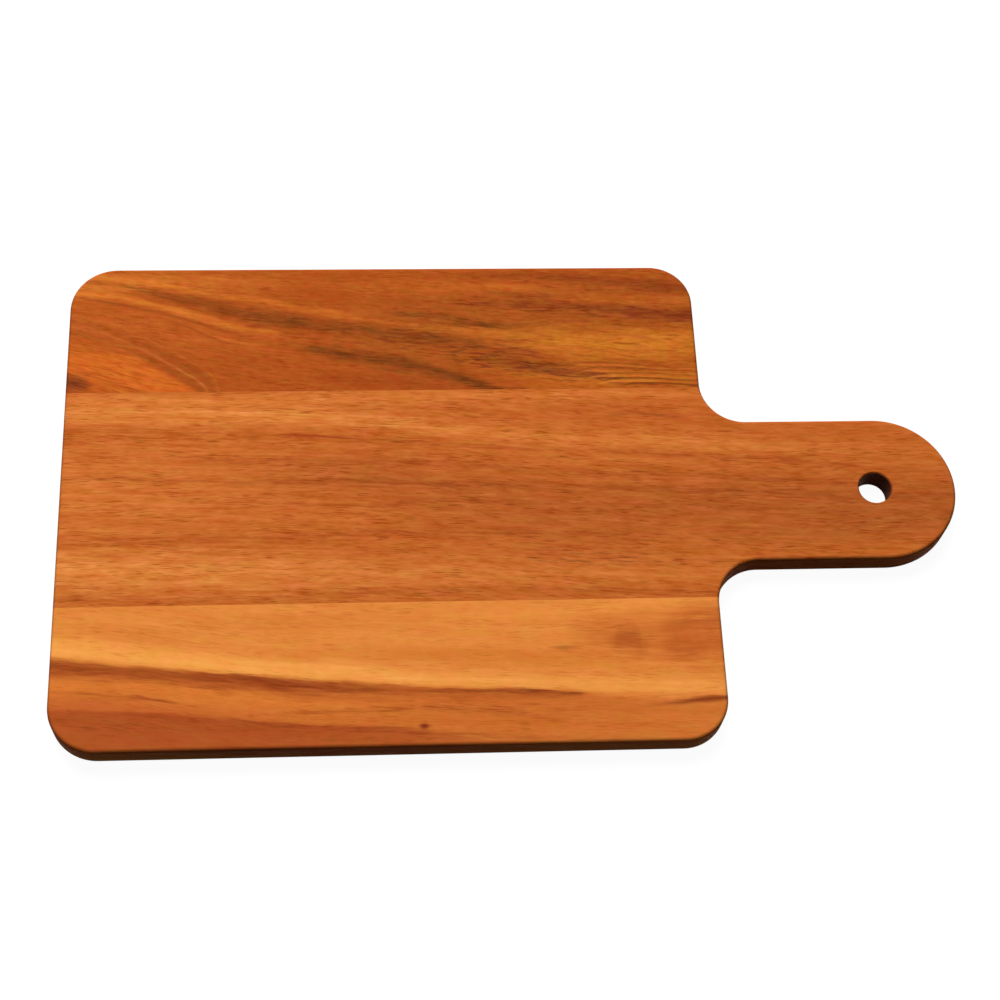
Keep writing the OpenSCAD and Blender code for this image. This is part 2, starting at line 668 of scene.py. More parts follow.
class StreakGroup:
    """The shader group that lays one streak over a colour."""

    # Millimetres across the grain, and of half width, that fill the height of a curve
    ACROSS_SPAN = 220.0
    BAND_SPAN = 40.0
    # Least half width, in millimetres, and the distance in half widths at which a streak ends
    LEAST_HALF = 0.05
    OUTER = 1.15
    # How much shorter the crisp side is
    CRISP_GAIN = 4.0
    KINDS = {
        "Colour": "NodeSocketColor",
        "Across": "NodeSocketFloat",
        "Reach": "NodeSocketVector",
        "Firmness": "NodeSocketFloat",
        "Fray": "NodeSocketFloat",
        "Bare": "NodeSocketFloat",
        "Fade": "NodeSocketFloat",
        "Thin": "NodeSocketFloat",
        "Crisp": "NodeSocketFloat",
        "Fibre": "NodeSocketFloat",
        "Tint": "NodeSocketColor",
    }

    def __init__(self) -> None:
        """Makes the group with its named inputs."""
        self.tree = bpy.data.node_groups.new("wood_streak", "ShaderNodeTree")
        for name, kind in self.KINDS.items():
            self.tree.interface.new_socket(name, in_out="INPUT", socket_type=kind)
        self.tree.interface.new_socket("Colour", in_out="OUTPUT", socket_type="NodeSocketColor")
        self.sketch = NodeSketch(self.tree)
        self.given = self.sketch.add("NodeGroupInput").outputs
        self.build()

    def distance(self, centre: Socket, half: Socket) -> Socket:
        """Measures how far a point lies from the middle of the streak.

        Args:
            centre: Where the middle lies across the grain.
            half: Half width of the streak.

        Returns:
            The distance in half widths, frayed by the fibres and stretched on the crisp side.
        """
        sketch = self.sketch
        offset = sketch.math("SUBTRACT", self.given["Across"], centre)
        crisp = sketch.math("GREATER_THAN", sketch.math("MULTIPLY", offset, self.given["Crisp"]), 0.0)
        stretch = sketch.math("MULTIPLY_ADD", crisp, self.CRISP_GAIN - 1.0, 1.0)
        plain = sketch.math("DIVIDE", sketch.math("ABSOLUTE", offset), half)
        lack = sketch.math("SUBTRACT", sketch.NOISE_MIDDLE, self.given["Fibre"])
        ragged = sketch.math("MULTIPLY", lack, self.given["Fray"])
        return sketch.math("MULTIPLY_ADD", plain, stretch, ragged)

    def build(self) -> None:
        """Works out where the streak lies and how strong it is, and mixes its tint in."""
        sketch = self.sketch
        given = self.given
        middle, width, strength = sketch.split(given["Reach"])
        centre = sketch.math("MULTIPLY", middle, self.ACROSS_SPAN)
        half = sketch.math("MAXIMUM", sketch.math("MULTIPLY", width, self.BAND_SPAN), self.LEAST_HALF)
        inside = sketch.ramp(self.distance(centre, half), given["Firmness"], self.OUTER, 1.0, 0.0)
        full = sketch.math("ADD", given["Bare"], given["Fade"])
        strands = sketch.ramp(given["Fibre"], given["Bare"], full, given["Thin"], 1.0)
        factor = sketch.math("MULTIPLY", sketch.math("MULTIPLY", inside, strands), strength, clamp=True)
        result = sketch.blend(factor, given["Colour"], given["Tint"])
        sketch.feed(sketch.add("NodeGroupOutput").inputs[0], result)


class WoodShader:
    """Builds the material of one stave from its finish.

    Attributes:
        coordinates: The coordinates of a point on the stave.
        along: Where the point lies along the board, in millimetres from the tail.
        across: Where it lies across the board, in millimetres from the back edge.
        depth: Where it lies below the top face, in millimetres.
        share: Where it lies along the board, as a share of the width of a curve.
        ring: Where the growth ring through the point comes out on the top face.
        wandering: The same, with the waves of the grain.
        straight: The ring, freed of the drift of the grain.
        grain_line: The wandering ring, freed of the drift of the grain.
        fibre: Noise of the fibres.
        strand: Noise of the strands in a streak.
        pore: How deep in a pore the point lies, from 0 to 1.
    """

    # Millimetres along the board that fill the width of a curve
    ALONG_SPAN = 350.0
    # Distance from the back edge at which the grain has its full drift, in millimetres
    FAN_WIDTH = 60.0
    # Marks that all the staves have, and what sets apart those that come from a finish
    WAVES = (Marks(60.0, 14.0, 0.0), Marks(16.0, 4.0, 3.0))
    FIBRE = Marks(18.0, 1.8, 7.0, detail=4.0, roughness=0.62)
    PORE = Marks(7.0, 0.42, 23.0, detail=1.0)
    PORE_CROWD = Marks(30.0, 6.0, 29.0)
    STRAND_SHIFT = 9.0
    STRAND_ROUGHNESS = 0.6
    LAYER_SHIFT = 11.0
    LAYER_STEP = 5.0
    TURN_SHIFT = 37.0
    # Gains of the colour at both ends of the grain and of the turn, and the share of the second one at
    # which the colour stays as it is
    EVEN = 0.5
    DARK_GRAIN = (0.73, 0.48, 0.0, 1.0)
    LIGHT_GRAIN = (1.27, 1.52, 2.0, 1.0)
    RED_TURN = (1.15, 0.7, 1.3, 1.0)
    YELLOW_TURN = (0.85, 1.3, 0.7, 1.0)
    # Range over which the pores crowd, the noise at which a pore starts at both ends of that range, and the
    # rise of the noise from there to the full depth of a pore
    CROWD_RANGE = (0.35, 0.65)
    PORE_START = (0.66, 0.52)
    PORE_RISE = 0.12
    PORE_SHADE = (0.56, 0.42, 0.3, 1.0)
    # Turn of a face towards the ends, from where it darkens to where it is darkest
    END_RANGE = (0.35, 0.95)
    END_STRENGTH = 0.55
    END_SHADE = (0.5, 0.42, 0.38, 1.0)
    # Width over which the painted shade on the hanging hole's wall fades out, in millimetres, and the colour
    # of that painted shade
    PAINTED_HOLE_SHADE_FADE = 0.5
    PAINTED_HOLE_SHADE = (0.3, 0.26, 0.22, 1.0)
    # Oiled surface
    FIBRE_RANGE = (0.3, 0.7)
    ROUGHNESS = (0.5, 0.6)
    PORE_ROUGHNESS = 0.15
    IOR = 1.45
    SHEEN = 0.013
    FIBRE_RELIEF = 0.5
    RELIEF = 0.04 * MM
    RELIEF_STRENGTH = 0.35

    coordinates: bpy.types.bpy_prop_collection
    along: Socket
    across: Socket
    depth: Socket
    share: Socket
    ring: Socket
    wandering: Socket
    straight: Socket
    grain_line: Socket
    fibre: Socket
    strand: Socket
    pore: Socket

    def __init__(self, finish: WoodFinish, sizes: BoardSizes, group: StreakGroup) -> None:
        """Makes an empty material for the finish.

        Args:
            finish: Colour and figure of the stave.
            sizes: Sizes of the board.
            group: The group that lays a streak.
        """
        self.finish = finish
        self.sizes = sizes
        self.group = group
        self.material = bpy.data.materials.new(finish.name)
        self.material.use_nodes = True
        self.material.node_tree.nodes.clear()
        self.sketch = NodeSketch(self.material.node_tree)

    def place(self) -> None:
        """Works out where a point lies: along the grain, across it and down, in millimetres."""
        sketch = self.sketch
        sizes = self.sizes
        self.coordinates = sketch.add("ShaderNodeTexCoord").outputs
        corner = (-sizes.tail_x / MM, sizes.half_width / MM, sizes.thickness / MM)
        scale = (1 / MM, -1 / MM, -1 / MM)
        turn = {"Vector": self.coordinates["Object"], "Location": corner, "Scale": scale}
        point = sketch.make("ShaderNodeMapping", turn)
        self.along, self.across, self.depth = sketch.split(point)
        self.share = sketch.math("DIVIDE", self.along, self.ALONG_SPAN)

    def rings(self) -> None:
        """Follows the growth ring through a point up to the top face, and keeps where it comes out."""
        sketch = self.sketch
        pith_across, pith_depth = self.finish.pith
        aside = sketch.math("SUBTRACT", self.across, pith_across)
        down = sketch.math("SUBTRACT", self.depth, pith_depth)
        squares = sketch.math("MULTIPLY_ADD", aside, aside, sketch.math("MULTIPLY", down, down))
        reach = sketch.math("SQRT", sketch.math("SUBTRACT", squares, pith_depth ** 2))
        side = 1.0 if pith_across < 0 else -1.0
        self.ring = sketch.math("MULTIPLY_ADD", reach, side, pith_across)

    def noise(self, marks: Marks, across: Source) -> Socket:
        """Makes the noise of some marks.

        Args:
            marks: Size and kind of the marks.
            across: Where a point lies across the grain.

        Returns:
            The noise.
        """
        sketch = self.sketch
        place = sketch.combine(
            sketch.math("MULTIPLY_ADD", self.along, 1 / marks.length, self.finish.seed + marks.shift),
            sketch.math("DIVIDE", across, marks.width),
            sketch.math("DIVIDE", self.depth, marks.width),
        )
        return sketch.noise(place, marks.detail, marks.roughness)

    def swing(self, marks: Marks, across: Source) -> Socket:
        """Makes the noise of some marks and centres it on zero."""
        return self.sketch.math("SUBTRACT", self.noise(marks, across), NodeSketch.NOISE_MIDDLE)

    def layer_swing(self, layer: GrainLayer, shift: float) -> Socket:
        """Makes the noise of a layer of the grain, centred on zero.

        Args:
            layer: The layer.
            shift: Offset that sets the noise apart from the others.

        Returns:
            The noise.
        """
        across = self.straight if layer.straight else self.grain_line
        return self.swing(Marks(layer.length, layer.width, shift, layer.detail), across)

    def draw(self, curve: bpy.types.CurveMap, points: list[tuple[float, float]]) -> None:
        """Draws a curve through points in the unit square.

        Args:
            curve: The curve.
            points: Its points, from left to right.
        """
        while len(curve.points) < len(points):
            curve.points.new(0.5, 0.5)
        for point, place in zip(curve.points, points):
            point.location = place
            point.handle_type = "AUTO_CLAMPED"

    def grain(self) -> None:
        """Bends the grain: it follows the flow line and wanders a little."""
        sketch = self.sketch
        finish = self.finish
        span = StreakGroup.ACROSS_SPAN
        flow = sketch.add("ShaderNodeFloatCurve")
        self.draw(flow.mapping.curves[0], [(x / self.ALONG_SPAN, y / span) for x, y in finish.flow])
        flow.mapping.update()
        sketch.feed(flow.inputs["Value"], self.share)
        drift = sketch.math("MULTIPLY", flow.outputs[0], span)
        fanned = sketch.math("MULTIPLY", drift, sketch.ramp(self.ring, 0.0, self.FAN_WIDTH, finish.fan, 1.0))
        self.wandering = self.ring
        for wave, reach in zip(self.WAVES, finish.wander):
            swing = self.swing(wave, self.ring)
            self.wandering = sketch.math("MULTIPLY_ADD", swing, reach, self.wandering)
        self.straight = sketch.math("SUBTRACT", self.ring, fanned)
        self.grain_line = sketch.math("SUBTRACT", self.wandering, fanned)
        self.fibre = self.noise(self.FIBRE, self.grain_line)
        strands = Marks(*finish.strand, self.STRAND_SHIFT, roughness=self.STRAND_ROUGHNESS)
        self.strand = self.noise(strands, self.grain_line)

    def streaks(self, colour: Source) -> Socket:
        """Lays the streaks over a colour.

        Args:
            colour: The wood before its streaks.

        Returns:
            The wood with them.
        """
        sketch = self.sketch
        share = sketch.combine(self.share, self.share, self.share)
        spans = (StreakGroup.ACROSS_SPAN, StreakGroup.BAND_SPAN, 1.0)
        for streak in self.finish.streaks:
            reach = sketch.add("ShaderNodeRGBCurve", label=streak.name)
            for index, span in enumerate(spans):
                points = [(s[0] / self.ALONG_SPAN, s[index + 1] / span) for s in streak.stations]
                self.draw(reach.mapping.curves[index], points)
            reach.mapping.use_clip = False
            reach.mapping.update()
            sketch.feed(reach.inputs["Color"], share)
            border = streak.edge.value
            stranded = streak.edge in (Edge.STRANDS, Edge.DASHES)
            inputs = {
                "Colour": colour,
                "Across": self.wandering,
                "Reach": reach.outputs[0],
                "Firmness": border.firmness,
                "Fray": border.fray,
                "Bare": border.bare,
                "Fade": border.fade,
                "Thin": border.thin,
                "Crisp": border.crisp,
                "Fibre": self.strand if stranded else self.fibre,
                "Tint": linear(streak.tint),
            }
            colour = sketch.make("ShaderNodeGroup", inputs, node_tree=self.group.tree)
        return colour

    def lines(self, colour: Source) -> Socket:
        """Lays the layers of the grain over a colour and turns it here to red and there to yellow.

        Args:
            colour: The wood before its grain.

        Returns:
            The wood with it.
        """
        sketch = self.sketch
        tone: Source = self.EVEN
        for index, layer in enumerate(self.finish.layers):
            swing = self.layer_swing(layer, self.LAYER_SHIFT + self.LAYER_STEP * index)
            tone = sketch.math("MULTIPLY_ADD", swing, layer.depth, tone)
        gain = sketch.blend(tone, self.DARK_GRAIN, self.LIGHT_GRAIN)
        colour = sketch.blend(1.0, colour, gain, "MULTIPLY")
        turn = self.finish.turn
        yellow = sketch.math("MULTIPLY_ADD", self.layer_swing(turn, self.TURN_SHIFT), turn.depth, self.EVEN)
        hue = sketch.blend(yellow, self.RED_TURN, self.YELLOW_TURN)
        return sketch.blend(1.0, colour, hue, "MULTIPLY")

    def pores(self, colour: Source) -> Socket:
        """Lays the open pores over a colour: short dark dashes along the grain.

        Args:
            colour: The wood before its pores.

        Returns:
            The wood with them.
        """
        sketch = self.sketch
        dash = self.noise(self.PORE, self.grain_line)
        crowd = self.noise(self.PORE_CROWD, self.grain_line)
        start = sketch.ramp(crowd, *self.CROWD_RANGE, *self.PORE_START)
        self.pore = sketch.ramp(sketch.math("SUBTRACT", dash, start), 0.0, self.PORE_RISE)
        strength = sketch.math("MULTIPLY", self.pore, self.finish.pore_depth)
        return sketch.blend(strength, colour, self.PORE_SHADE, "MULTIPLY")

    def ends(self, colour: Source) -> Socket:
        """Darkens the end grain, which drinks more oil than the faces.

        Args:
            colour: The wood before its ends.

        Returns:
            The wood with them.
        """
        sketch = self.sketch
        turned = sketch.math("ABSOLUTE", sketch.split(self.coordinates["Normal"])[0])
        end = sketch.ramp(turned, *self.END_RANGE, 0.0, self.END_STRENGTH)
        return sketch.blend(end, colour, self.END_SHADE, "MULTIPLY")

    def paint_hole_shade(self, colour: Source) -> Socket:
        """Paints shade on the wall of the hanging hole, where little light reaches.

        Args:
            colour: The wood before the painted shade in the hole.

        Returns:
            The wood with it.
        """
        sketch = self.sketch
        sizes = self.sizes
        aside = sketch.math("SUBTRACT", self.along, (sizes.hole_x - sizes.tail_x) / MM)
        over = sketch.math("SUBTRACT", self.across, sizes.half_width / MM)
        squares = sketch.math("MULTIPLY_ADD", aside, aside, sketch.math("MULTIPLY", over, over))
        radius = sizes.hole_radius / MM
        # Painted shade: the wall of the hanging hole is darkened in the colour itself
        hole_shade_mask = sketch.ramp(sketch.math("SQRT", squares), radius, radius + self.PAINTED_HOLE_SHADE_FADE, 1.0, 0.0)
        return sketch.blend(hole_shade_mask, colour, self.PAINTED_HOLE_SHADE, "MULTIPLY")

    def build(self) -> bpy.types.Material:
        """Builds the whole material.

        Returns:
            The material of the stave.
        """
        sketch = self.sketch
        self.place()
        self.rings()
        self.grain()
        colour = self.streaks(linear(self.finish.base))
        for step in (self.lines, self.pores, self.ends):
            colour = step(colour)
        # Painted shade on the wall of the hanging hole
        if self.finish.drilled:
            colour = self.paint_hole_shade(colour)
        shader = sketch.add("ShaderNodeBsdfPrincipled")
        sketch.feed(shader.inputs["Base Color"], colour)
        rough = sketch.ramp(self.fibre, *self.FIBRE_RANGE, *self.ROUGHNESS)
        rough = sketch.math("MULTIPLY_ADD", self.pore, self.PORE_ROUGHNESS, rough)
        sketch.feed(shader.inputs["Roughness"], rough)
        shader.inputs["IOR"].default_value = self.IOR
        shader.inputs["Specular IOR Level"].default_value = self.SHEEN
        height = sketch.math("SUBTRACT", sketch.math("MULTIPLY", self.fibre, self.FIBRE_RELIEF), self.pore)
        bump = {"Strength": self.RELIEF_STRENGTH, "Distance": self.RELIEF, "Height": height}
        sketch.feed(shader.inputs["Normal"], sketch.make("ShaderNodeBump", bump))
        output = sketch.add("ShaderNodeOutputMaterial")
        sketch.feed(output.inputs["Surface"], shader.outputs[0])
        return self.material


# Tints that several streaks share
OLIVE: Tone = (104, 50, 14)
UMBER: Tone = (129, 58, 20)
RUSSET: Tone = (156, 66, 22)
SEPIA: Tone = (131, 65, 21)
MAROON: Tone = (124, 50, 19)
AMBER: Tone = (212, 116, 40)
GOLD: Tone = (199, 112, 34)
SAPWOOD: Tone = (247, 163, 77)
SCRATCH: Tone = (238, 160, 86)

# The ripples from the outermost in: where each starts, in millimetres from the tail, where it lies, in
# millimetres from the back edge, and its strength
RIPPLES = (
    (191.0, 43.6, 0.3),
    (194.0, 44.7, 0.3),
    (199.0, 45.7, 0.4),
    (196.0, 47.2, 0.45),
    (204.0, 48.0, 0.45),
    (201.0, 49.5, 0.6),
    (207.0, 50.4, 0.7),
    (205.0, 51.8, 0.75),
    (214.0, 52.8, 0.7),
)
# The course of a ripple from there: millimetres along, millimetres towards the front, half width in
# millimetres, and share of its strength
RIPPLE_COURSE = (
    (0.0, 1.8, 0.5, 0.0),
    (8.0, 0.2, 0.65, 1.0),
    (20.0, 0.4, 0.65, 1.0),
    (34.0, 1.4, 0.6, 0.8),
    (60.0, 3.4, 0.6, 0.4),
)
# The course of the arc at the tail: millimetres from the tail, millimetres from the back edge, and shares of
# a line's half width and strength
ARC_COURSE = (
    (0.0, 26.4, 0.8, 0.55),
    (14.0, 29.6, 0.8, 0.55),
    (24.0, 34.0, 0.8, 0.6),
    (32.0, 38.6, 0.8, 0.7),
    (39.0, 42.6, 0.85, 0.85),
    (46.0, 47.0, 0.9, 1.0),
    (51.0, 50.4, 1.0, 1.0),
    (54.0, 54.0, 1.2, 1.0),
    (55.2, 58.0, 1.4, 0.9),
)
# The way into the arc: along the board and towards the front
ARC_INWARD = (-0.6, 0.8)


def ripple(index: int) -> Streak:
    """Gives one of the fine lines, dark and light by turns, that run side by side into the back shoulder.

    Args:
        index: Its number, from the outermost.

    Returns:
        The line.
    """
    dark = index % 2 == 0
    start, level, strength = RIPPLES[index]
    stations = tuple((start + u, level + v, half, share * strength) for u, v, half, share in RIPPLE_COURSE)
    return Streak(f"ripple {index + 1}", OLIVE if dark else AMBER, Edge.LINE, stations)


def arc_line(name: str, tint: Tone, edge: Edge, inset: float, half: float, strength: float) -> Streak:
    """Gives one of the lines that follow the arc at the tail of the back stave.

    Args:
        name: What the line is.
        tint: Its colour.
        edge: How it stops.
        inset: How far it lies inside the arc, in millimetres.
        half: Its half width at the seam, in millimetres.
        strength: Its strength at the seam.

    Returns:
        The line.
    """
    along, across = (inset * part for part in ARC_INWARD)
    stations = tuple((u + along, v + across, half * w, strength * s) for u, v, w, s in ARC_COURSE)
    return Streak(name, tint, edge, stations)


FIGURED = WoodFinish(
    name="figured_stave_wood",
    base=(171, 79, 24),
    flow=((0, 0), (40, 10), (80, 17), (110, 20), (150, 23), (200, 26), (246, 28), (350, 31)),
    fan=0.5,
    pith=(110, 50),
    wander=(3.0, 0.8),
    strand=(9.0, 0.88),
    layers=(
        GrainLayer(45, 1.8, 0.34, 2.0),
        GrainLayer(24, 3.4, 0.34, 2.0),
        GrainLayer(9, 1.2, 0.6, 2.0),
        GrainLayer(4, 0.7, 0.56),
        GrainLayer(3, 2.0, 0.28),
    ),
    turn=GrainLayer(8, 2.2, 0.75, 3.0),
    pore_depth=0.5,
    seed=1.7,
    streaks=(
        Streak("olive ground", (161, 84, 28), Edge.SOFT, (
            (104, 28, 10, 0), (136, 30, 26, 0.55), (180, 26, 26, 0.5), (260, 22, 26, 0.5),
        )),
        Streak("warm corner", (208, 115, 42), Edge.SOFT, (
            (0, 8.9, 9, 0.75), (30, 6.4, 7, 0.7), (60, 6.4, 6, 0.45), (95, 6.7, 5, 0),
        )),
        Streak("warm tail", (190, 93, 34), Edge.SOFT, (
            (0, 24, 12, 0.6), (30, 27, 12, 0.6), (60, 31, 12, 0.4), (95, 36, 10, 0),
        )),
        Streak("warm glow", (196, 98, 34), Edge.SOFT, (
            (158, 8.4, 2, 0), (174, 8.6, 2.4, 0.5), (185, 9, 2, 0.4), (197, 10, 1.6, 0),
        )),
        Streak("gold zone", GOLD, Edge.SOFT, (
            (146, 27.5, 3, 0), (165, 31.4, 7, 0.4), (182, 33.4, 9, 0.75), (205, 36, 10, 1.0),
            (230, 36, 10, 1.0), (260, 37.3, 9, 0.9),
        )),
        Streak("gold by the seam", GOLD, Edge.SOFT, (
            (150, 40.4, 3, 0), (170, 45.4, 7, 0.3), (185, 49.3, 8, 0.55), (205, 51.3, 7, 0.65),
            (225, 50.3, 6, 0.6), (260, 50.2, 6, 0.5),
        )),
        Streak("strokes of the upper right", MAROON, Edge.DASHES, (
            (110, 9, 6, 0), (140, 11, 10, 0.5), (170, 12, 12, 0.7), (205, 14, 14, 0.75),
            (260, 16, 14, 0.75),
        )),
        Streak("light strokes of the upper right", (206, 108, 36), Edge.STRANDS, (
            (100, 8, 3, 0), (135, 9.4, 5, 0.45), (172, 9.6, 3.4, 0.6), (196, 13.8, 2.8, 0.5),
            (226, 15.6, 3, 0.5), (260, 16.4, 3, 0.5),
        )),
        Streak("strokes in the gold", SEPIA, Edge.DASHES, (
            (165, 31, 4, 0), (184, 34, 7, 0.35), (205, 37, 9, 0.35), (230, 38, 9, 0.35),
            (260, 39, 9, 0.35),
        )),
        Streak("warm heart", (212, 105, 33), Edge.SOFT, (
            (0, 42.6, 13, 0.75), (15, 45.6, 13, 0.85), (30, 49, 11, 0.9), (42, 53, 7, 0.8),
            (52, 57.4, 4, 0),
        )),
        Streak("mottles of the heart", (150, 64, 25), Edge.DASHES, (
            (0, 47.6, 6, 0.7), (16, 48.6, 6.5, 0.7), (30, 50.5, 5, 0.6), (42, 54.5, 3, 0),
        )),
        Streak("red ground at the seam", RUSSET, Edge.SOFT, (
            (90, 49.4, 3, 0), (121, 51.4, 5, 0.55), (145, 53.3, 4, 0.55), (162, 57.3, 3, 0),
        )),
        Streak("dark corner", (138, 60, 21), Edge.SOFT, (
            (150, 3.5, 1.6, 0), (168, 3.6, 2, 0.4), (190, 4.6, 2.6, 0.5), (206, 6.2, 3.4, 0.75),
            (218, 8, 3.6, 0.75), (236, 9.4, 4, 0.8), (260, 10, 4, 0.8),
        )),
        Streak("upper light line", AMBER, Edge.SOFT, (
            (10, 2.9, 1.6, 0.45), (25, 4.9, 1.8, 0.6), (35, 6.8, 2, 0.75), (43, 9.3, 2, 0.65),
            (58, 12.7, 2.1, 0.5), (77, 15.5, 2.4, 0.48), (90, 18.9, 2.4, 0.46), (105, 21.6, 2.4, 0.4),
            (124, 25.5, 2.2, 0.3), (150, 29, 2, 0.3), (175, 29.4, 2, 0),
        )),
        Streak("shade of the upper strands", SEPIA, Edge.SOFT, (
            (20, 7.9, 2, 0), (35, 11.8, 3, 0.35), (50, 15.7, 4.5, 0.4), (65, 19.7, 5, 0.45),
            (80, 23.1, 5.6, 0.6), (95, 25.6, 5, 0.5), (110, 28.1, 4.5, 0.45), (124, 30, 4.5, 0.45),
            (140, 32.5, 4.5, 0.5), (152, 34, 4, 0.4), (166, 38, 3, 0),
        )),
        Streak("scattered strands", UMBER, Edge.DASHES, (
            (60, 24.7, 4, 0), (80, 27.6, 6, 0.35), (110, 32.5, 8, 0.5), (135, 35.5, 10, 0.8),
            (155, 38.9, 11, 0.95), (172, 43.4, 8, 1.0), (190, 46.8, 6, 0.85), (215, 50.3, 4, 0),
        )),
        Streak("upper dark strands", OLIVE, Edge.STRANDS, (
            (8, 5.9, 1, 0.3), (20, 7.4, 1.4, 0.5), (32, 10.8, 2.2, 0.5), (46, 14.8, 3.2, 0.5),
            (62, 19, 4, 0.5), (72, 21.7, 4.6, 0.62), (80, 23.6, 4.6, 0.68), (90, 24.9, 4, 0.62),
            (105, 27.4, 3, 0.56), (120, 29.8, 3, 0.56), (130, 30.7, 2.6, 0.6), (142, 32.4, 2.4, 0.65),
            (150, 33.2, 2.2, 0.55), (160, 34.4, 1.6, 0),
        )),
        Streak("dense dashes", (116, 54, 20), Edge.STRANDS, (
            (150, 35, 2, 0), (160, 37.5, 4, 0.45), (170, 41, 5, 0.55), (180, 44, 5, 0.6),
            (190, 46.5, 4.5, 0.6), (200, 48.4, 3.4, 0.5), (212, 50.5, 2, 0),
        )),
        Streak("stepped dashes", (120, 54, 24), Edge.DASHES, (
            (148, 36.4, 3, 0), (158, 41, 4.2, 0.9), (168, 43.6, 4.4, 1.0), (176, 45.6, 4.2, 1.0),
            (185, 47.2, 4, 1.0), (196, 48.8, 3.6, 1.0), (206, 50, 2.8, 0.9), (218, 52.3, 2.2, 0.8),
            (232, 53.6, 1.8, 0.75), (255, 55.2, 1.4, 0.65),
        )),
        Streak("red mottles", (150, 64, 32), Edge.SOFT, (
            (166, 37, 1, 0), (173, 37.6, 2.2, 0.5), (178, 39, 2.2, 0.5), (185, 40.4, 1, 0),
        )),
        Streak("shade of the dashes", (124, 60, 26), Edge.SOFT, (
            (156, 41, 2, 0), (168, 43.6, 3, 0.45), (184, 47, 3.2, 0.6), (196, 48.6, 3, 0.65),
            (208, 50, 2, 0.4), (226, 53, 1.6, 0),
        )),
        Streak("lower light line", AMBER, Edge.SOFT, (
            (0, 10.9, 2, 0.65), (12, 12, 2.2, 0.7), (20, 13.5, 2.2, 0.65), (30, 16.1, 2.2, 0.65),
            (42, 19.7, 2.5, 0.72), (47, 21.3, 2.5, 0.66), (55, 23.4, 2.4, 0.56), (65, 26.6, 2.5, 0.55),
            (75, 28.9, 2.3, 0.45), (86, 31.4, 2, 0),
        )),
        Streak("line under it", UMBER, Edge.SOFT, (
            (4, 13.1, 0.8, 0.3), (12, 14.7, 1, 0.45), (22, 17.1, 1.1, 0.45), (33, 20.1, 1, 0.35),
            (42, 22.5, 1.1, 0.45), (50, 24.8, 1.1, 0.4), (57, 27.3, 1.1, 0.4), (64, 29.6, 1, 0.3),
            (72, 31.6, 1, 0),
        )),
        Streak("second line", UMBER, Edge.SOFT, (
            (38, 24.1, 0.8, 0), (44, 26.1, 0.9, 0.35), (50, 28.6, 0.9, 0.4), (56, 31.6, 0.9, 0.35),
            (62, 34.2, 0.8, 0.25), (68, 35.6, 0.8, 0),
        )),
        Streak("light strokes under it", AMBER, Edge.LINE, (
            (55, 30.2, 0.8, 0), (62, 32.6, 1, 0.3), (70, 34.6, 1, 0.3), (78, 35.6, 0.8, 0),
        )),
        Streak("shade of the lower strands", SEPIA, Edge.SOFT, (
            (86, 35.5, 2.5, 0), (100, 38.3, 4, 0.5), (115, 41.3, 5, 0.65), (126, 43.4, 5.5, 0.75),
            (137, 45.8, 4.5, 0.75), (150, 49.6, 4, 0.75), (160, 53.5, 3.6, 0.7), (168, 56.3, 2.4, 0),
        )),
        Streak("lower dark strands", OLIVE, Edge.STRANDS, (
            (84, 35.1, 1.6, 0), (92, 36.7, 2.2, 0.5), (100, 38, 2.8, 0.75), (108, 39.5, 3, 0.85),
            (118, 41.8, 3.2, 0.75), (126, 43.4, 3.8, 0.6), (134, 45, 3.4, 0.55), (143, 47.2, 2.8, 0.6),
            (152, 50.4, 2.8, 0.8), (158, 53.1, 3.2, 1.0), (164, 54.9, 2.2, 1.0), (172, 55.4, 1.2, 0.9),
            (180, 56, 1, 0),
        )),
        Streak("shade of the floating strands", SEPIA, Edge.SOFT, (
            (124, 20.6, 1.6, 0), (135, 21.4, 2.6, 0.4), (145, 22.8, 2.8, 0.4), (156, 25.2, 2.6, 0.4),
            (164, 26.2, 2.6, 0.5), (174, 26.8, 2, 0.3), (184, 27.2, 1.2, 0),
        )),
        Streak("floating strands", OLIVE, Edge.STRANDS, (
            (125, 20.8, 1, 0), (134, 21.6, 2, 0.55), (142, 22.4, 2, 0.4), (149, 24.2, 2.2, 0.5),
            (156, 26, 2.2, 0.7), (162, 26.6, 2.2, 0.8), (169, 26.8, 1.8, 0.6), (178, 27.4, 0.9, 0),
        )),
        Streak("brown strands by the gold", SEPIA, Edge.STRANDS, (
            (174, 26.4, 0.9, 0), (184, 26, 1.2, 0.5), (194, 26.4, 1.1, 0.45), (204, 27, 0.9, 0),
        )),
        Streak("line in the gold", UMBER, Edge.STRANDS, (
            (154, 32.6, 0.8, 0), (166, 33.4, 1, 0.6), (176, 34, 1, 0.55), (186, 34.4, 0.7, 0),
        )),
        Streak("shade of the red band", (138, 61, 22), Edge.SOFT, (
            (148, 16.4, 1.6, 0), (172, 17, 2.2, 0.45), (190, 17.2, 3, 0.55), (205, 18.8, 3.4, 0.6),
            (220, 21, 4, 0.7), (238, 23, 4.4, 0.85), (260, 23.8, 4.6, 0.85),
        )),
        Streak("strands of the red band", MAROON, Edge.STRANDS, (
            (150, 16.6, 1, 0), (160, 17, 1.5, 0.5), (175, 17.4, 1.6, 0.45), (195, 18.4, 2.2, 0.75),
            (208, 19.6, 2.4, 0.85), (222, 21.4, 2.6, 0.85), (238, 23, 3, 1.0), (260, 23.8, 3, 1.0),
        )),
        Streak("lower strand of the red band", UMBER, Edge.STRANDS, (
            (176, 20.6, 0.9, 0), (190, 21.6, 1.3, 0.55), (203, 22.8, 1.3, 0.6), (214, 23.8, 1.2, 0.45),
            (228, 25, 1, 0),
        )),
        Streak("faint upper band", UMBER, Edge.STRANDS, (
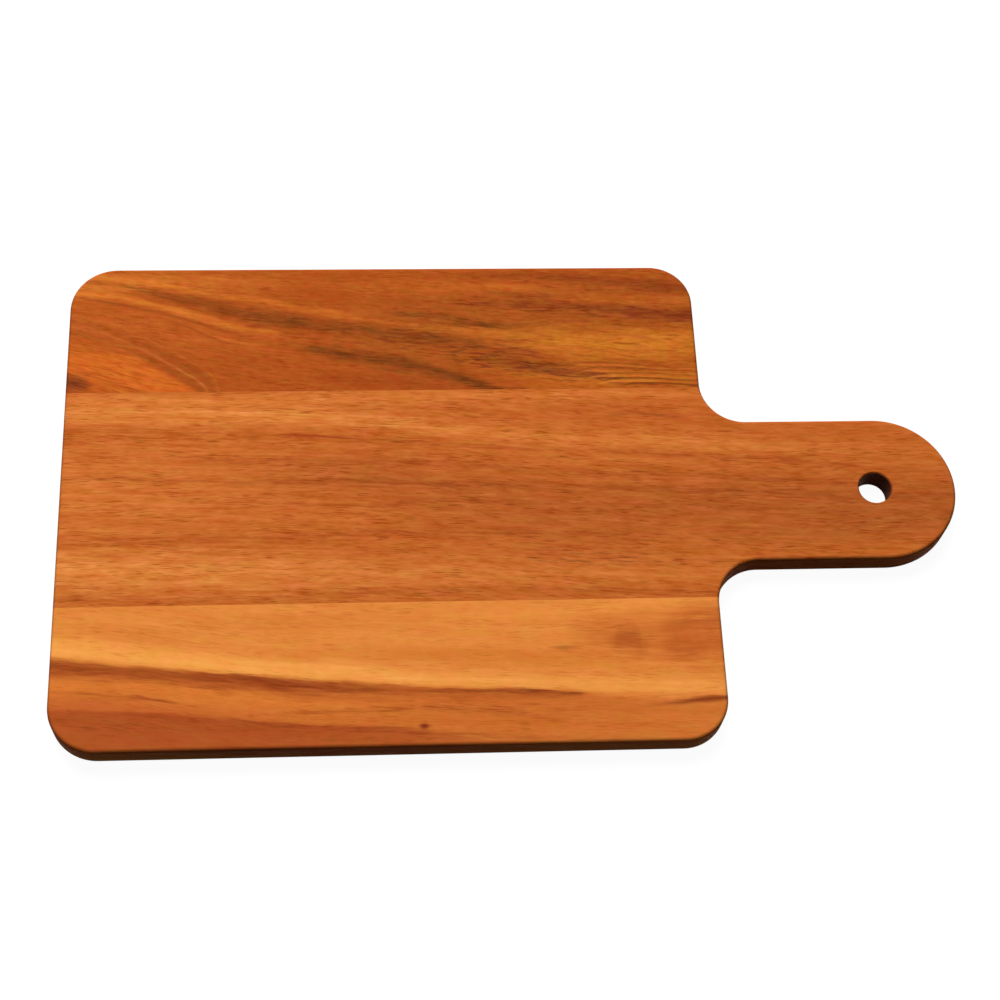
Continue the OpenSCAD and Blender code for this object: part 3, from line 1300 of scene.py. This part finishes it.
            (160, 11.8, 1.2, 0), (176, 12.6, 1.8, 0.65), (186, 13, 1.9, 0.7), (194, 13.4, 1.4, 0.4),
            (204, 13.9, 1, 0),
        )),
        *(ripple(index) for index in range(len(RIPPLES))),
        arc_line("inner border of the arc", (140, 70, 24), Edge.SOFT, 2.6, 2.6, 0.55),
        arc_line("outer border of the arc", (142, 70, 24), Edge.SOFT, -2.6, 2.4, 0.5),
        arc_line("outer line of the arc", (192, 104, 40), Edge.LINE, -5.2, 0.9, 0.35),
        arc_line("line of the arc", (190, 112, 56), Edge.LINE, 0.0, 0.9, 0.5),
        Streak("dark spot", (112, 48, 28), Edge.SOFT, (
            (0, 51.2, 5.2, 0.9), (4, 51.6, 4.8, 0.8), (11, 52.4, 2, 0),
        )),
    ),
)

STRAIGHT = WoodFinish(
    name="straight_stave_wood",
    base=(194, 101, 40),
    flow=((0, 0), (120, 4), (245, 13), (350, 17)),
    fan=1.0,
    pith=(-60, 70),
    wander=(1.4, 0.4),
    strand=(11.0, 1.0),
    layers=(
        GrainLayer(200, 2.2, 0.42, 2.0, straight=True),
        GrainLayer(30, 1.2, 0.36, 2.0),
        GrainLayer(14, 1.5, 0.52, 2.0),
        GrainLayer(4.5, 0.8, 0.54),
        GrainLayer(10, 3.2, 0.66, 2.0),
    ),
    turn=GrainLayer(14, 3.4, 0.5, 3.0),
    pore_depth=0.72,
    seed=5.3,
    drilled=True,
    streaks=(
        Streak("light tail", (214, 120, 53), Edge.SOFT, (
            (0, 100.2, 30, 0.65), (60, 100.1, 30, 0.3), (120, 100.1, 28, 0),
        )),
        Streak("light strip at the back seam", (216, 124, 55), Edge.SOFT, (
            (0, 59.5, 5, 0.7), (60, 59.9, 5, 0.7), (110, 59.4, 5, 0.55), (160, 58.3, 4, 0.5),
            (246, 58.2, 3, 0.4),
        )),
        Streak("light sweep", (222, 132, 60), Edge.SOFT, (
            (0, 65, 6, 0.75), (50, 66, 6, 0.75), (90, 67, 5.5, 0.65), (124, 69.3, 5, 0.5),
            (150, 73.2, 5, 0.45), (185, 76.7, 5, 0.45), (215, 78.6, 5, 0.45), (246, 80.6, 5, 0.4),
            (275, 82.5, 5, 0.25), (300, 84, 5, 0.15), (340, 86, 5, 0.1),
        )),
        Streak("light band at the front", (224, 134, 62), Edge.SOFT, (
            (0, 130, 12, 0.9), (40, 131, 12, 0.8), (90, 132.4, 11, 0.6), (130, 133.4, 9, 0.4),
            (180, 134, 8, 0.35), (246, 135, 7, 0.25),
        )),
        Streak("dull heart", (172, 86, 36), Edge.SOFT, (
            (60, 90.2, 12, 0), (110, 92.1, 16, 0.5), (140, 99, 22, 0.55), (200, 108, 24, 0.6),
            (260, 105.5, 21, 0.7), (350, 107.9, 20, 0.75),
        )),
        Streak("red shoulder", (180, 83, 31), Edge.SOFT, (
            (178, 65.2, 5, 0), (205, 66.7, 6, 0.4), (230, 67.7, 6, 0.45), (246, 69.1, 6, 0.45),
            (258, 72.1, 5, 0.4), (290, 75, 5, 0.4), (330, 78, 5, 0.3),
        )),
        Streak("dash on the red shoulder", UMBER, Edge.STRANDS, (
            (208, 66.4, 0.8, 0), (220, 67, 1.1, 0.6), (232, 68, 1.1, 0.65), (240, 68.5, 0.8, 0),
        )),
        Streak("first scratch", SCRATCH, Edge.LINE, (
            (44, 63.8, 0.3, 0), (66, 64.8, 0.4, 0.3), (98, 66, 0.4, 0.22), (126, 67.2, 0.35, 0.2),
            (140, 68, 0.3, 0),
        )),
        Streak("second scratch", SCRATCH, Edge.LINE, (
            (54, 65.4, 0.3, 0), (80, 66.6, 0.4, 0.22), (110, 68, 0.4, 0.22), (128, 69.4, 0.3, 0),
        )),
        Streak("third scratch", SCRATCH, Edge.LINE, (
            (98, 69, 0.3, 0), (114, 70.2, 0.4, 0.2), (132, 71.4, 0.4, 0.28), (144, 72.2, 0.3, 0.2),
            (154, 72.8, 0.3, 0),
        )),
        Streak("dash on the back line", (150, 52, 24), Edge.LINE, (
            (80, 74.4, 0.4, 0), (91, 75, 0.7, 0.6), (104, 75.9, 0.7, 0.65), (114, 76.6, 0.4, 0),
        )),
        Streak("back line", RUSSET, Edge.STRANDS, (
            (0, 71.8, 1.4, 0.4), (20, 72.2, 1.2, 0.2), (42, 73.7, 1.4, 0.4), (66, 73.9, 1.2, 0.2),
            (83, 74.7, 1.4, 0.4), (100, 75.9, 1.7, 0.65), (112, 77, 1.6, 0.5), (135, 78.4, 1.7, 0.45),
            (160, 80.2, 1.6, 0.4), (185, 81.3, 1.6, 0.35), (212, 83.1, 1.8, 0.45), (245, 85.7, 2, 0.65),
            (270, 86.8, 2, 0.7), (292, 89, 1.8, 0.6), (320, 91.9, 1.5, 0.4), (350, 93.9, 1.5, 0.35),
        )),
        Streak("second line", RUSSET, Edge.STRANDS, (
            (40, 84, 1.5, 0), (62, 85.2, 2.4, 0.4), (82, 85.8, 2.2, 0.4), (110, 86.4, 2.4, 0.5),
            (130, 87.2, 2.2, 0.6), (150, 88.1, 2, 0.55), (170, 89.7, 1.8, 0.5), (190, 91.1, 1.6, 0.35),
            (207, 92.3, 1.6, 0.5), (230, 93, 2, 0.5), (246, 94, 1.8, 0.55), (270, 96, 1.8, 0.65),
            (300, 98.1, 1.6, 0.55), (340, 100.9, 1.4, 0.35),
        )),
        Streak("middle line", (142, 59, 21), Edge.STRANDS, (
            (0, 91.3, 1, 0.2), (20, 92.6, 1.4, 0.35), (65, 94.2, 1.6, 0.35), (92, 94.7, 2, 0.5),
            (105, 94.5, 2.2, 0.5), (123, 95.1, 2.4, 0.6), (142, 95.9, 2, 0.5), (165, 97.1, 1.8, 0.55),
            (185, 97.6, 1.8, 0.5), (212, 98.6, 1.7, 0.5), (236, 100, 1.7, 0.6), (262, 101.2, 2, 0.65),
            (290, 102.9, 1.8, 0.55), (335, 103.9, 1.6, 0.5),
        )),
        Streak("third line", RUSSET, Edge.STRANDS, (
            (60, 103, 1.4, 0), (90, 104.4, 1.6, 0.35), (116, 104.8, 1.6, 0.45), (140, 103.4, 1.4, 0.25),
            (165, 103.8, 1.5, 0.5), (182, 104.6, 1.5, 0.4), (206, 106, 1.3, 0.3), (240, 107.3, 1.3, 0.4),
            (270, 108.5, 1.2, 0.45), (310, 109.9, 1, 0.2),
        )),
        Streak("front line", RUSSET, Edge.STRANDS, (
            (0, 117.1, 2.4, 0.25), (30, 118, 3.2, 0.3), (60, 117.6, 3, 0.4), (92, 117.4, 2.8, 0.45),
            (108, 116.8, 2.8, 0.5), (124, 115.6, 2.6, 0.55), (145, 116.6, 2.4, 0.45),
            (170, 116.9, 2.4, 0.5), (186, 117.5, 2, 0.4), (206, 117.9, 1.8, 0.5), (216, 118.3, 1.4, 0.35),
            (232, 118.9, 1, 0),
        )),
        Streak("grey mottles", (146, 80, 38), Edge.DASHES, (
            (172, 126.4, 3, 0), (188, 127.6, 4.4, 0.8), (206, 128.2, 4.4, 0.8), (226, 129.4, 3.4, 0.3),
            (246, 130, 3, 0.3),
        )),
        Streak("brown side of the handle", (172, 88, 37), Edge.SOFT, (
            (232, 120.9, 5, 0), (262, 118.9, 9, 0.35), (290, 116.9, 11, 0.5), (320, 114.9, 12, 0.5),
            (350, 113.8, 12, 0.5),
        )),
        Streak("line at the front seam", RUSSET, Edge.STRANDS, (
            (0, 140.9, 1.3, 0.4), (14, 141.2, 1.2, 0.35), (24, 141.5, 1, 0.1), (48, 142.2, 1.2, 0.25),
            (64, 142.4, 1.3, 0.35), (84, 141.6, 1.3, 0.2), (106, 140.2, 2, 0.45), (123, 140.2, 2.2, 0.5),
            (138, 141, 2, 0.55), (160, 139.8, 1.8, 0.35), (185, 140.2, 1.8, 0.4), (214, 141.4, 1.6, 0.6),
            (236, 142.2, 1.7, 0.5), (256, 143.4, 1.8, 0.5),
        )),
    ),
)

SAPPY = WoodFinish(
    name="sapwood_stave_wood",
    base=(226, 135, 59),
    flow=((0, 0), (30, 3), (67, 8), (110, 12), (180, 15), (246, 17), (350, 19)),
    fan=1.0,
    pith=(260, 60),
    wander=(2.4, 1.3),
    strand=(10.0, 0.9),
    layers=(
        GrainLayer(110, 3.2, 0.24, 2.0),
        GrainLayer(20, 6, 0.24, 1.0),
        GrainLayer(16, 1.6, 0.2, 2.0),
        GrainLayer(6, 0.8, 0.18),
        GrainLayer(4, 2.8, 0.22, 2.0),
    ),
    turn=GrainLayer(10, 4.0, 0.4, 3.0),
    pore_depth=0.35,
    seed=9.1,
    streaks=(
        Streak("brown front", (201, 105, 42), Edge.FIELD, (
            (0, 170.6, 22, 0.9), (30, 173.4, 22, 0.9), (60, 176.6, 22, 0.9), (100, 180.4, 20, 0.9),
            (124, 181.6, 20, 0.9), (150, 182.2, 20, 0.9), (180, 183.4, 20, 0.9), (205, 186.4, 18, 0.8),
            (230, 187.8, 18, 0.7), (260, 189, 18, 0.65),
        )),
        Streak("brown mottles", (200, 108, 43), Edge.STRANDS, (
            (10, 154.8, 4, 0), (36, 155.6, 4.4, 0.4), (62, 153.4, 5, 0.4), (100, 151.6, 4.4, 0.35),
            (128, 153.6, 4, 0.2), (150, 154.7, 4, 0),
        )),
        Streak("strokes of the brown front", (170, 80, 30), Edge.DASHES, (
            (0, 180, 7, 0.5), (40, 183, 7, 0.55), (80, 186, 8, 0.65), (120, 187.4, 8, 0.75),
            (170, 188.6, 8, 0.75), (215, 191, 6, 0.6), (260, 192, 6, 0.4),
        )),
        Streak("light strokes of the brown front", (224, 127, 52), Edge.STRANDS, (
            (0, 179, 5, 0.5), (40, 181, 5, 0.55), (80, 184.6, 5, 0.6), (120, 189, 5, 0.5),
            (170, 192.4, 5, 0.5), (215, 193, 6, 0.5), (260, 193, 6, 0.5),
        )),
        Streak("dull band over the sapwood", (214, 121, 48), Edge.SOFT, (
            (80, 162.7, 3, 0), (120, 164.7, 4, 0.5), (150, 165.7, 5, 0.75), (180, 166.7, 5, 0.8),
            (205, 167.6, 5, 0.6), (250, 168.6, 5, 0.5),
        )),
        Streak("glow of the sapwood", SAPWOOD, Edge.CRISP_FRONT, (
            (0, 162.4, 8.8, 0.85), (20, 164.2, 8.8, 0.85), (40, 167, 8.8, 0.8), (60, 169.2, 8.2, 0.8),
            (75, 170.8, 7.6, 0.75), (100, 173, 7, 0.65), (124, 175, 6.8, 0.55), (150, 176.8, 6.6, 0.5),
            (180, 178.4, 6.6, 0.5), (210, 180, 6.6, 0.45), (246, 181.6, 6, 0.4), (270, 182.4, 6, 0.4),
        )),
        Streak("sapwood", SAPWOOD, Edge.FIRM, (
            (0, 159.6, 3.6, 0.65), (30, 162.2, 3.4, 0.65), (50, 165.2, 3.2, 0.65), (67, 167.4, 3, 0.65),
            (83, 169.2, 2.8, 0.6), (104, 171, 2.6, 0.5), (125, 172.6, 2.6, 0.4), (141, 174.2, 2.6, 0.35),
            (166, 175.6, 2.8, 0.3), (191, 176.8, 3, 0.3), (216, 178.2, 3, 0.25), (241, 179.6, 2.8, 0.25),
            (270, 180.6, 2.8, 0.2),
        )),
        Streak("verge of the corner", (194, 92, 41), Edge.SOFT, (
            (0, 181.4, 4, 0.6), (20, 182.6, 4, 0.6), (45, 184.6, 3, 0.4), (70, 187, 2.5, 0),
        )),
        Streak("brown corner", (174, 79, 33), Edge.FIELD, (
            (0, 187.2, 16, 0.9), (36, 188.8, 16, 0.95), (60, 190.6, 16, 0.9), (80, 192.6, 15, 0.9),
            (100, 194.6, 15, 0.85), (124, 196.6, 15, 0.8), (140, 199, 14, 0.7), (160, 201.4, 14, 0.5),
            (200, 203, 12, 0.2), (260, 205, 10, 0.1),
        )),
        Streak("mottles of the corner", (146, 66, 26), Edge.DASHES, (
            (0, 189, 4, 0.5), (24, 189.6, 4, 0.6), (44, 190.6, 3, 0.5), (70, 194, 3, 0.35),
            (110, 197, 3, 0.35), (150, 199, 2, 0),
        )),
        Streak("line along the corner", (146, 60, 23), Edge.STRANDS, (
            (26, 185.8, 1, 0.2), (36, 186.4, 1.3, 0.5), (46, 187.4, 1.3, 0.45), (60, 188.6, 1.3, 0.4),
            (73, 190, 1.6, 0.6), (88, 191.4, 1.6, 0.7), (100, 192.5, 1.6, 0.7), (125, 194.3, 1.6, 0.65),
            (145, 195.9, 1.6, 0.5), (170, 197.5, 1.4, 0.4), (200, 198.7, 1.2, 0.2), (220, 199.2, 1, 0),
        )),
        Streak("orange band", (224, 125, 50), Edge.SOFT, (
            (0, 174, 3.4, 0.8), (28, 174.8, 3.8, 0.85), (50, 177.8, 4.2, 0.8), (67, 179.8, 4.2, 0.7),
            (90, 182.6, 3.8, 0.55), (120, 184.2, 3.4, 0.3), (150, 185, 3, 0),
        )),
        Streak("dark streak", (156, 66, 26), Edge.CRISP_BACK, (
            (0, 165.7, 7, 0.7), (10, 166.7, 7.2, 0.7), (20, 167.8, 7.8, 0.62), (30, 169.2, 7.4, 0.58),
            (40, 170.5, 6.8, 0.62), (50, 171.3, 6.6, 0.7), (60, 171.9, 6.8, 0.78), (70, 172.4, 6.4, 0.8),
            (80, 173.8, 6.4, 0.8), (90, 174.8, 6.8, 0.8), (100, 175.4, 6.4, 0.7), (110, 176, 6.4, 0.6),
            (124, 177.2, 5.6, 0.5), (137, 178.6, 4.2, 0.45), (152, 179.4, 3.6, 0.5),
            (170, 179.8, 3.4, 0.55), (184, 180.6, 3, 0.55), (195, 181.4, 2, 0),
        )),
        Streak("strands of the dark streak", (122, 49, 17), Edge.STRANDS, (
            (0, 166.9, 2.2, 0.5), (12, 168.1, 3, 0.55), (22, 169.9, 3.2, 0.4), (38, 171.2, 2.4, 0.4),
            (54, 172.3, 2.4, 0.45), (66, 172.8, 2.4, 0.65), (84, 175, 2.8, 0.65), (100, 177, 2.8, 0.5),
            (112, 178.4, 2.2, 0.5), (126, 179.4, 1.4, 0),
        )),
        Streak("tail of the dark streak", UMBER, Edge.STRANDS, (
            (130, 179, 0.9, 0), (146, 179.4, 1.2, 0.6), (162, 179.6, 1.2, 0.65), (176, 180.1, 1.2, 0.8),
            (185, 181, 1.3, 0.85), (193, 182, 1, 0),
        )),
        Streak("thin line", (142, 58, 18), Edge.STRANDS, (
            (0, 176.4, 0.5, 0.25), (12, 177.3, 0.7, 0.5), (20, 178.7, 0.8, 0.5), (28, 179.7, 0.9, 0.6),
            (36, 180.6, 1, 0.75), (42, 181.4, 0.8, 0.6), (50, 182.3, 0.5, 0),
        )),
        Streak("front strokes", RUSSET, Edge.STRANDS, (
            (80, 186.2, 0.9, 0), (95, 186.2, 1.2, 0.5), (112, 186.1, 1.5, 0.5), (128, 185.9, 1.6, 0.6),
            (144, 186.5, 1.6, 0.6), (158, 187.5, 1.8, 0.6), (170, 188.9, 1.8, 0.55),
            (180, 190.5, 1.4, 0.4), (192, 191.5, 1, 0),
        )),
        Streak("blush at the shoulder", (196, 98, 39), Edge.SOFT, (
            (186, 156.7, 8, 0), (205, 158.7, 11, 0.65), (220, 159.7, 12, 0.7), (232, 159.4, 15, 0.85),
            (260, 158.4, 18, 0.95),
        )),
        Streak("first patch", (168, 76, 29), Edge.SOFT, (
            (201, 162, 1, 0), (205, 161.4, 5, 0.3), (209, 160, 8, 0.65), (212.5, 160.4, 8.6, 0.65),
            (216, 162.4, 6, 0.35), (221, 163.6, 1, 0),
        )),
        Streak("second patch", (174, 80, 31), Edge.SOFT, (
            (219, 163, 1, 0), (225, 163.4, 4.4, 0.35), (230, 164.4, 6.4, 0.5), (235, 165.2, 5.6, 0.4),
            (241, 164.6, 4, 0.2), (252, 163, 3, 0.1),
        )),
        Streak("patch at the edge", (172, 76, 30), Edge.SOFT, (
            (222, 155.6, 3, 0), (236, 154.2, 4.4, 0.45), (256, 152.4, 4.8, 0.55),
        )),
        Streak("dash at the patches", UMBER, Edge.STRANDS, (
            (180, 163.3, 0.8, 0), (188, 163.7, 1.1, 0.5), (194, 164.1, 0.8, 0),
        )),
        Streak("light slant", (236, 146, 64), Edge.SOFT, (
            (140, 150.2, 2, 0), (174, 149.7, 2.6, 0.5), (200, 148.4, 2.8, 0.55), (218, 146.8, 2.8, 0.45),
            (238, 145.4, 2.4, 0.2),
        )),
        Streak("dark dash", (128, 50, 18), Edge.SOFT, (
            (213, 186.2, 0.8, 0), (220, 185.7, 1, 0.3), (228, 185.1, 1.3, 0.6), (236, 184.3, 1.5, 0.85),
            (250, 183.6, 1.5, 0.9),
        )),
        Streak("knot", (122, 30, 20), Edge.LINE, (
            (131.5, 192.5, 0.4, 0), (133.4, 192.7, 1.1, 0.5), (134.8, 192.8, 1.5, 0.95),
            (136.2, 192.8, 1.1, 0.5), (138, 192.7, 0.4, 0),
        )),
    ),
)


class GlueShader:
    """Builds the cured glue: near the colour of the wood, and a little cloudy along the seam."""

    NAME = "cured_glue"
    DULL: Tone = (170, 88, 36)
    CLEAR: Tone = (200, 108, 48)
    CLOUDS_PER_METRE = (180.0, 900.0, 900.0)
    CLOUD_DETAIL = 3.0
    CLOUD_RANGE = (0.3, 0.7)
    ROUGHNESS = (0.4, 0.55)
    SHEEN = 0.018

    def build(self) -> bpy.types.Material:
        """Builds the whole material.

        Returns:
            The material of the glue lines.
        """
        material = bpy.data.materials.new(self.NAME)
        material.use_nodes = True
        material.node_tree.nodes.clear()
        sketch = NodeSketch(material.node_tree)
        place = sketch.add("ShaderNodeTexCoord").outputs["Object"]
        scaling = {0: place, 1: self.CLOUDS_PER_METRE}
        spot = sketch.make("ShaderNodeVectorMath", scaling, operation="MULTIPLY")
        cloud = sketch.noise(spot, self.CLOUD_DETAIL)
        clear = sketch.ramp(cloud, *self.CLOUD_RANGE)
        colour = sketch.blend(clear, linear(self.DULL), linear(self.CLEAR))
        shader = sketch.add("ShaderNodeBsdfPrincipled")
        sketch.feed(shader.inputs["Base Color"], colour)
        sketch.feed(shader.inputs["Roughness"], sketch.ramp(cloud, *self.CLOUD_RANGE, *self.ROUGHNESS))
        shader.inputs["Specular IOR Level"].default_value = self.SHEEN
        output = sketch.add("ShaderNodeOutputMaterial")
        sketch.feed(output.inputs["Surface"], shader.outputs[0])
        return material


@dataclass(frozen=True)
class Studio:
    """The camera, the lamp, the floor and the surroundings.

    Attributes:
        elevation: Height of the camera above the floor, in degrees, seen from the point that it looks at.
        yaw: Turn of the camera round that point, in degrees.
        roll: Tilt of the camera about its own axis, in degrees.
        distance: Distance from the camera to that point.
        aim: The point on the floor that the camera looks at.
        focal_length: Focal length of the lens, in widths of the picture.
        sensor: Width of the sensor, in millimetres.
        lamp_place: Where the lamp hangs.
        lamp_side: Length of the lamp's side.
        lamp_power: Power of the lamp, in watts.
        sky_light: Strength of the surroundings as a light.
        sky_white: Colour of the surroundings.
        floor_reach: Distance from the middle of the floor to its edges.
        floor_drop: Gap that keeps the floor apart from the face that rests on it.
        floor_glow: How white the floor is where nothing lights it.
        floor_white: Grey that the lamp lights on top of that, which shows the shadow.
        floor_bounce: Colour of the floor as a light.
    """

    elevation: float = 64.611
    yaw: float = -9.001
    roll: float = 7.405
    distance: float = 764.67 * MM
    aim: Place = (-4.64 * MM, 1.89 * MM, 0.0)
    focal_length: float = 1.983
    sensor: float = 36.0
    lamp_place: Place = (-0.25, 1.1, 1.5)
    lamp_side: float = 1.4
    lamp_power: float = 49.8
    sky_light: float = 0.053
    sky_white: Colour = (1.0, 1.0, 1.0, 1.0)
    floor_reach: float = 6.0
    floor_drop: float = 0.02 * MM
    floor_glow: float = 0.95
    floor_white: Colour = (0.1, 0.1, 0.1, 1.0)
    floor_bounce: Colour = (0.036, 0.03, 0.025, 1.0)

    def camera(self) -> None:
        """Sets the camera to the photograph's view."""
        tilt = math.radians(self.elevation)
        turn = math.radians(self.yaw)
        back = Vector((math.sin(turn) * math.cos(tilt), -math.cos(turn) * math.cos(tilt), math.sin(tilt)))
        right = Vector((0, 0, 1)).cross(back).normalized()
        axes = Matrix((right, back.cross(right), back)).transposed().to_4x4()
        data = bpy.data.cameras.new("photo_camera")
        data.sensor_width = self.sensor
        data.lens = self.focal_length * self.sensor
        camera = bpy.data.objects.new("photo_camera", data)
        place = Matrix.Translation(Vector(self.aim) + back * self.distance)
        camera.matrix_world = place @ axes @ Matrix.Rotation(math.radians(self.roll), 4, "Z")
        bpy.context.scene.collection.objects.link(camera)
        bpy.context.scene.camera = camera

    def lamp(self) -> None:
        """Hangs a square area lamp behind the board, facing it."""
        data = bpy.data.lights.new("back_light", "AREA")
        data.shape = "SQUARE"
        data.size = self.lamp_side
        data.energy = self.lamp_power
        lamp = bpy.data.objects.new("back_light", data)
        lamp.location = self.lamp_place
        lamp.rotation_euler = (-Vector(self.lamp_place)).to_track_quat("-Z", "Y").to_euler()
        bpy.context.scene.collection.objects.link(lamp)

    def seen(self, sketch: NodeSketch) -> Socket:
        """Tells rays that show the background from those that light the board.

        Args:
            sketch: The tree that asks.

        Returns:
            1 for rays from the camera, and for those reflected or let through.
        """
        path = sketch.add("ShaderNodeLightPath").outputs
        shown = sketch.math("ADD", path["Is Camera Ray"], path["Is Glossy Ray"])
        return sketch.math("ADD", shown, path["Is Transmission Ray"], clamp=True)

    def floor_finish(self) -> bpy.types.Material:
        """Makes a white finish that keeps the board's shadow and throws little light back.

        Returns:
            The material of the floor.
        """
        material = bpy.data.materials.new("white_floor")
        material.use_nodes = True
        material.node_tree.nodes.clear()
        sketch = NodeSketch(material.node_tree)
        glow = sketch.make("ShaderNodeEmission", {"Strength": self.floor_glow})
        white = sketch.make("ShaderNodeBsdfDiffuse", {"Color": self.floor_white})
        bright = sketch.make("ShaderNodeAddShader", {0: glow, 1: white})
        dim = sketch.make("ShaderNodeBsdfDiffuse", {"Color": self.floor_bounce})
        either = sketch.make("ShaderNodeMixShader", {0: self.seen(sketch), 1: dim, 2: bright})
        sketch.feed(sketch.add("ShaderNodeOutputMaterial").inputs["Surface"], either)
        return material

    def floor(self) -> None:
        """Lays the floor."""
        mesh = bpy.data.meshes.new("floor")
        reach = self.floor_reach
        ring = [(x * reach, y * reach, -self.floor_drop) for x, y in ((-1, -1), (1, -1), (1, 1), (-1, 1))]
        mesh.from_pydata(ring, [], [(0, 1, 2, 3)])
        mesh.materials.append(self.floor_finish())
        floor = bpy.data.objects.new("floor", mesh)
        bpy.context.scene.collection.objects.link(floor)

    def surroundings(self) -> None:
        """Sets white surroundings that light the board only a little."""
        world = bpy.data.worlds.new("surroundings")
        world.use_nodes = True
        world.node_tree.nodes.clear()
        sketch = NodeSketch(world.node_tree)
        strength = sketch.ramp(self.seen(sketch), 0.0, 1.0, self.sky_light, 1.0)
        sky = sketch.make("ShaderNodeBackground", {"Color": self.sky_white, "Strength": strength})
        sketch.feed(sketch.add("ShaderNodeOutputWorld").inputs["Surface"], sky)
        bpy.context.scene.world = world

    def build(self) -> None:
        """Sets up the whole studio."""
        self.camera()
        self.lamp()
        self.floor()
        self.surroundings()
        bpy.context.scene.view_settings.view_transform = "Standard"


def main() -> None:
    """Builds the board and the studio."""
    logging.basicConfig(level=logging.INFO, format="%(message)s")
    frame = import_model()
    sizes = BoardSizes.from_frame(frame["record"])
    Studio().build()
    panel = PanelTree()
    group = StreakGroup()
    woods = (FIGURED, STRAIGHT, SAPPY)
    finishes = {wood.name: WoodShader(wood, sizes, group).build() for wood in woods}
    finishes[GlueShader.NAME] = GlueShader().build()
    outside = 2 * sizes.half_width
    pieces = (
        ("back_stave", Stuff.WOOD, FIGURED.name, sizes.seam_out, outside),
        ("centre_stave", Stuff.WOOD, STRAIGHT.name, -sizes.seam_in, sizes.seam_in),
        ("front_stave", Stuff.WOOD, SAPPY.name, -outside, -sizes.seam_out),
        ("back_glue_line", Stuff.GLUE, GlueShader.NAME, sizes.seam_in, sizes.seam_out),
        ("front_glue_line", Stuff.GLUE, GlueShader.NAME, -sizes.seam_out, -sizes.seam_in),
    )
    for node, stuff, slot, low_y, high_y in pieces:
        piece = PanelPiece(node, stuff, slot, sizes, low_y, high_y).build(panel, finishes[slot])
        LOG.info("%s: %d faces", piece.name, len(piece.data.polygons))


if __name__ == "__main__":
    main()
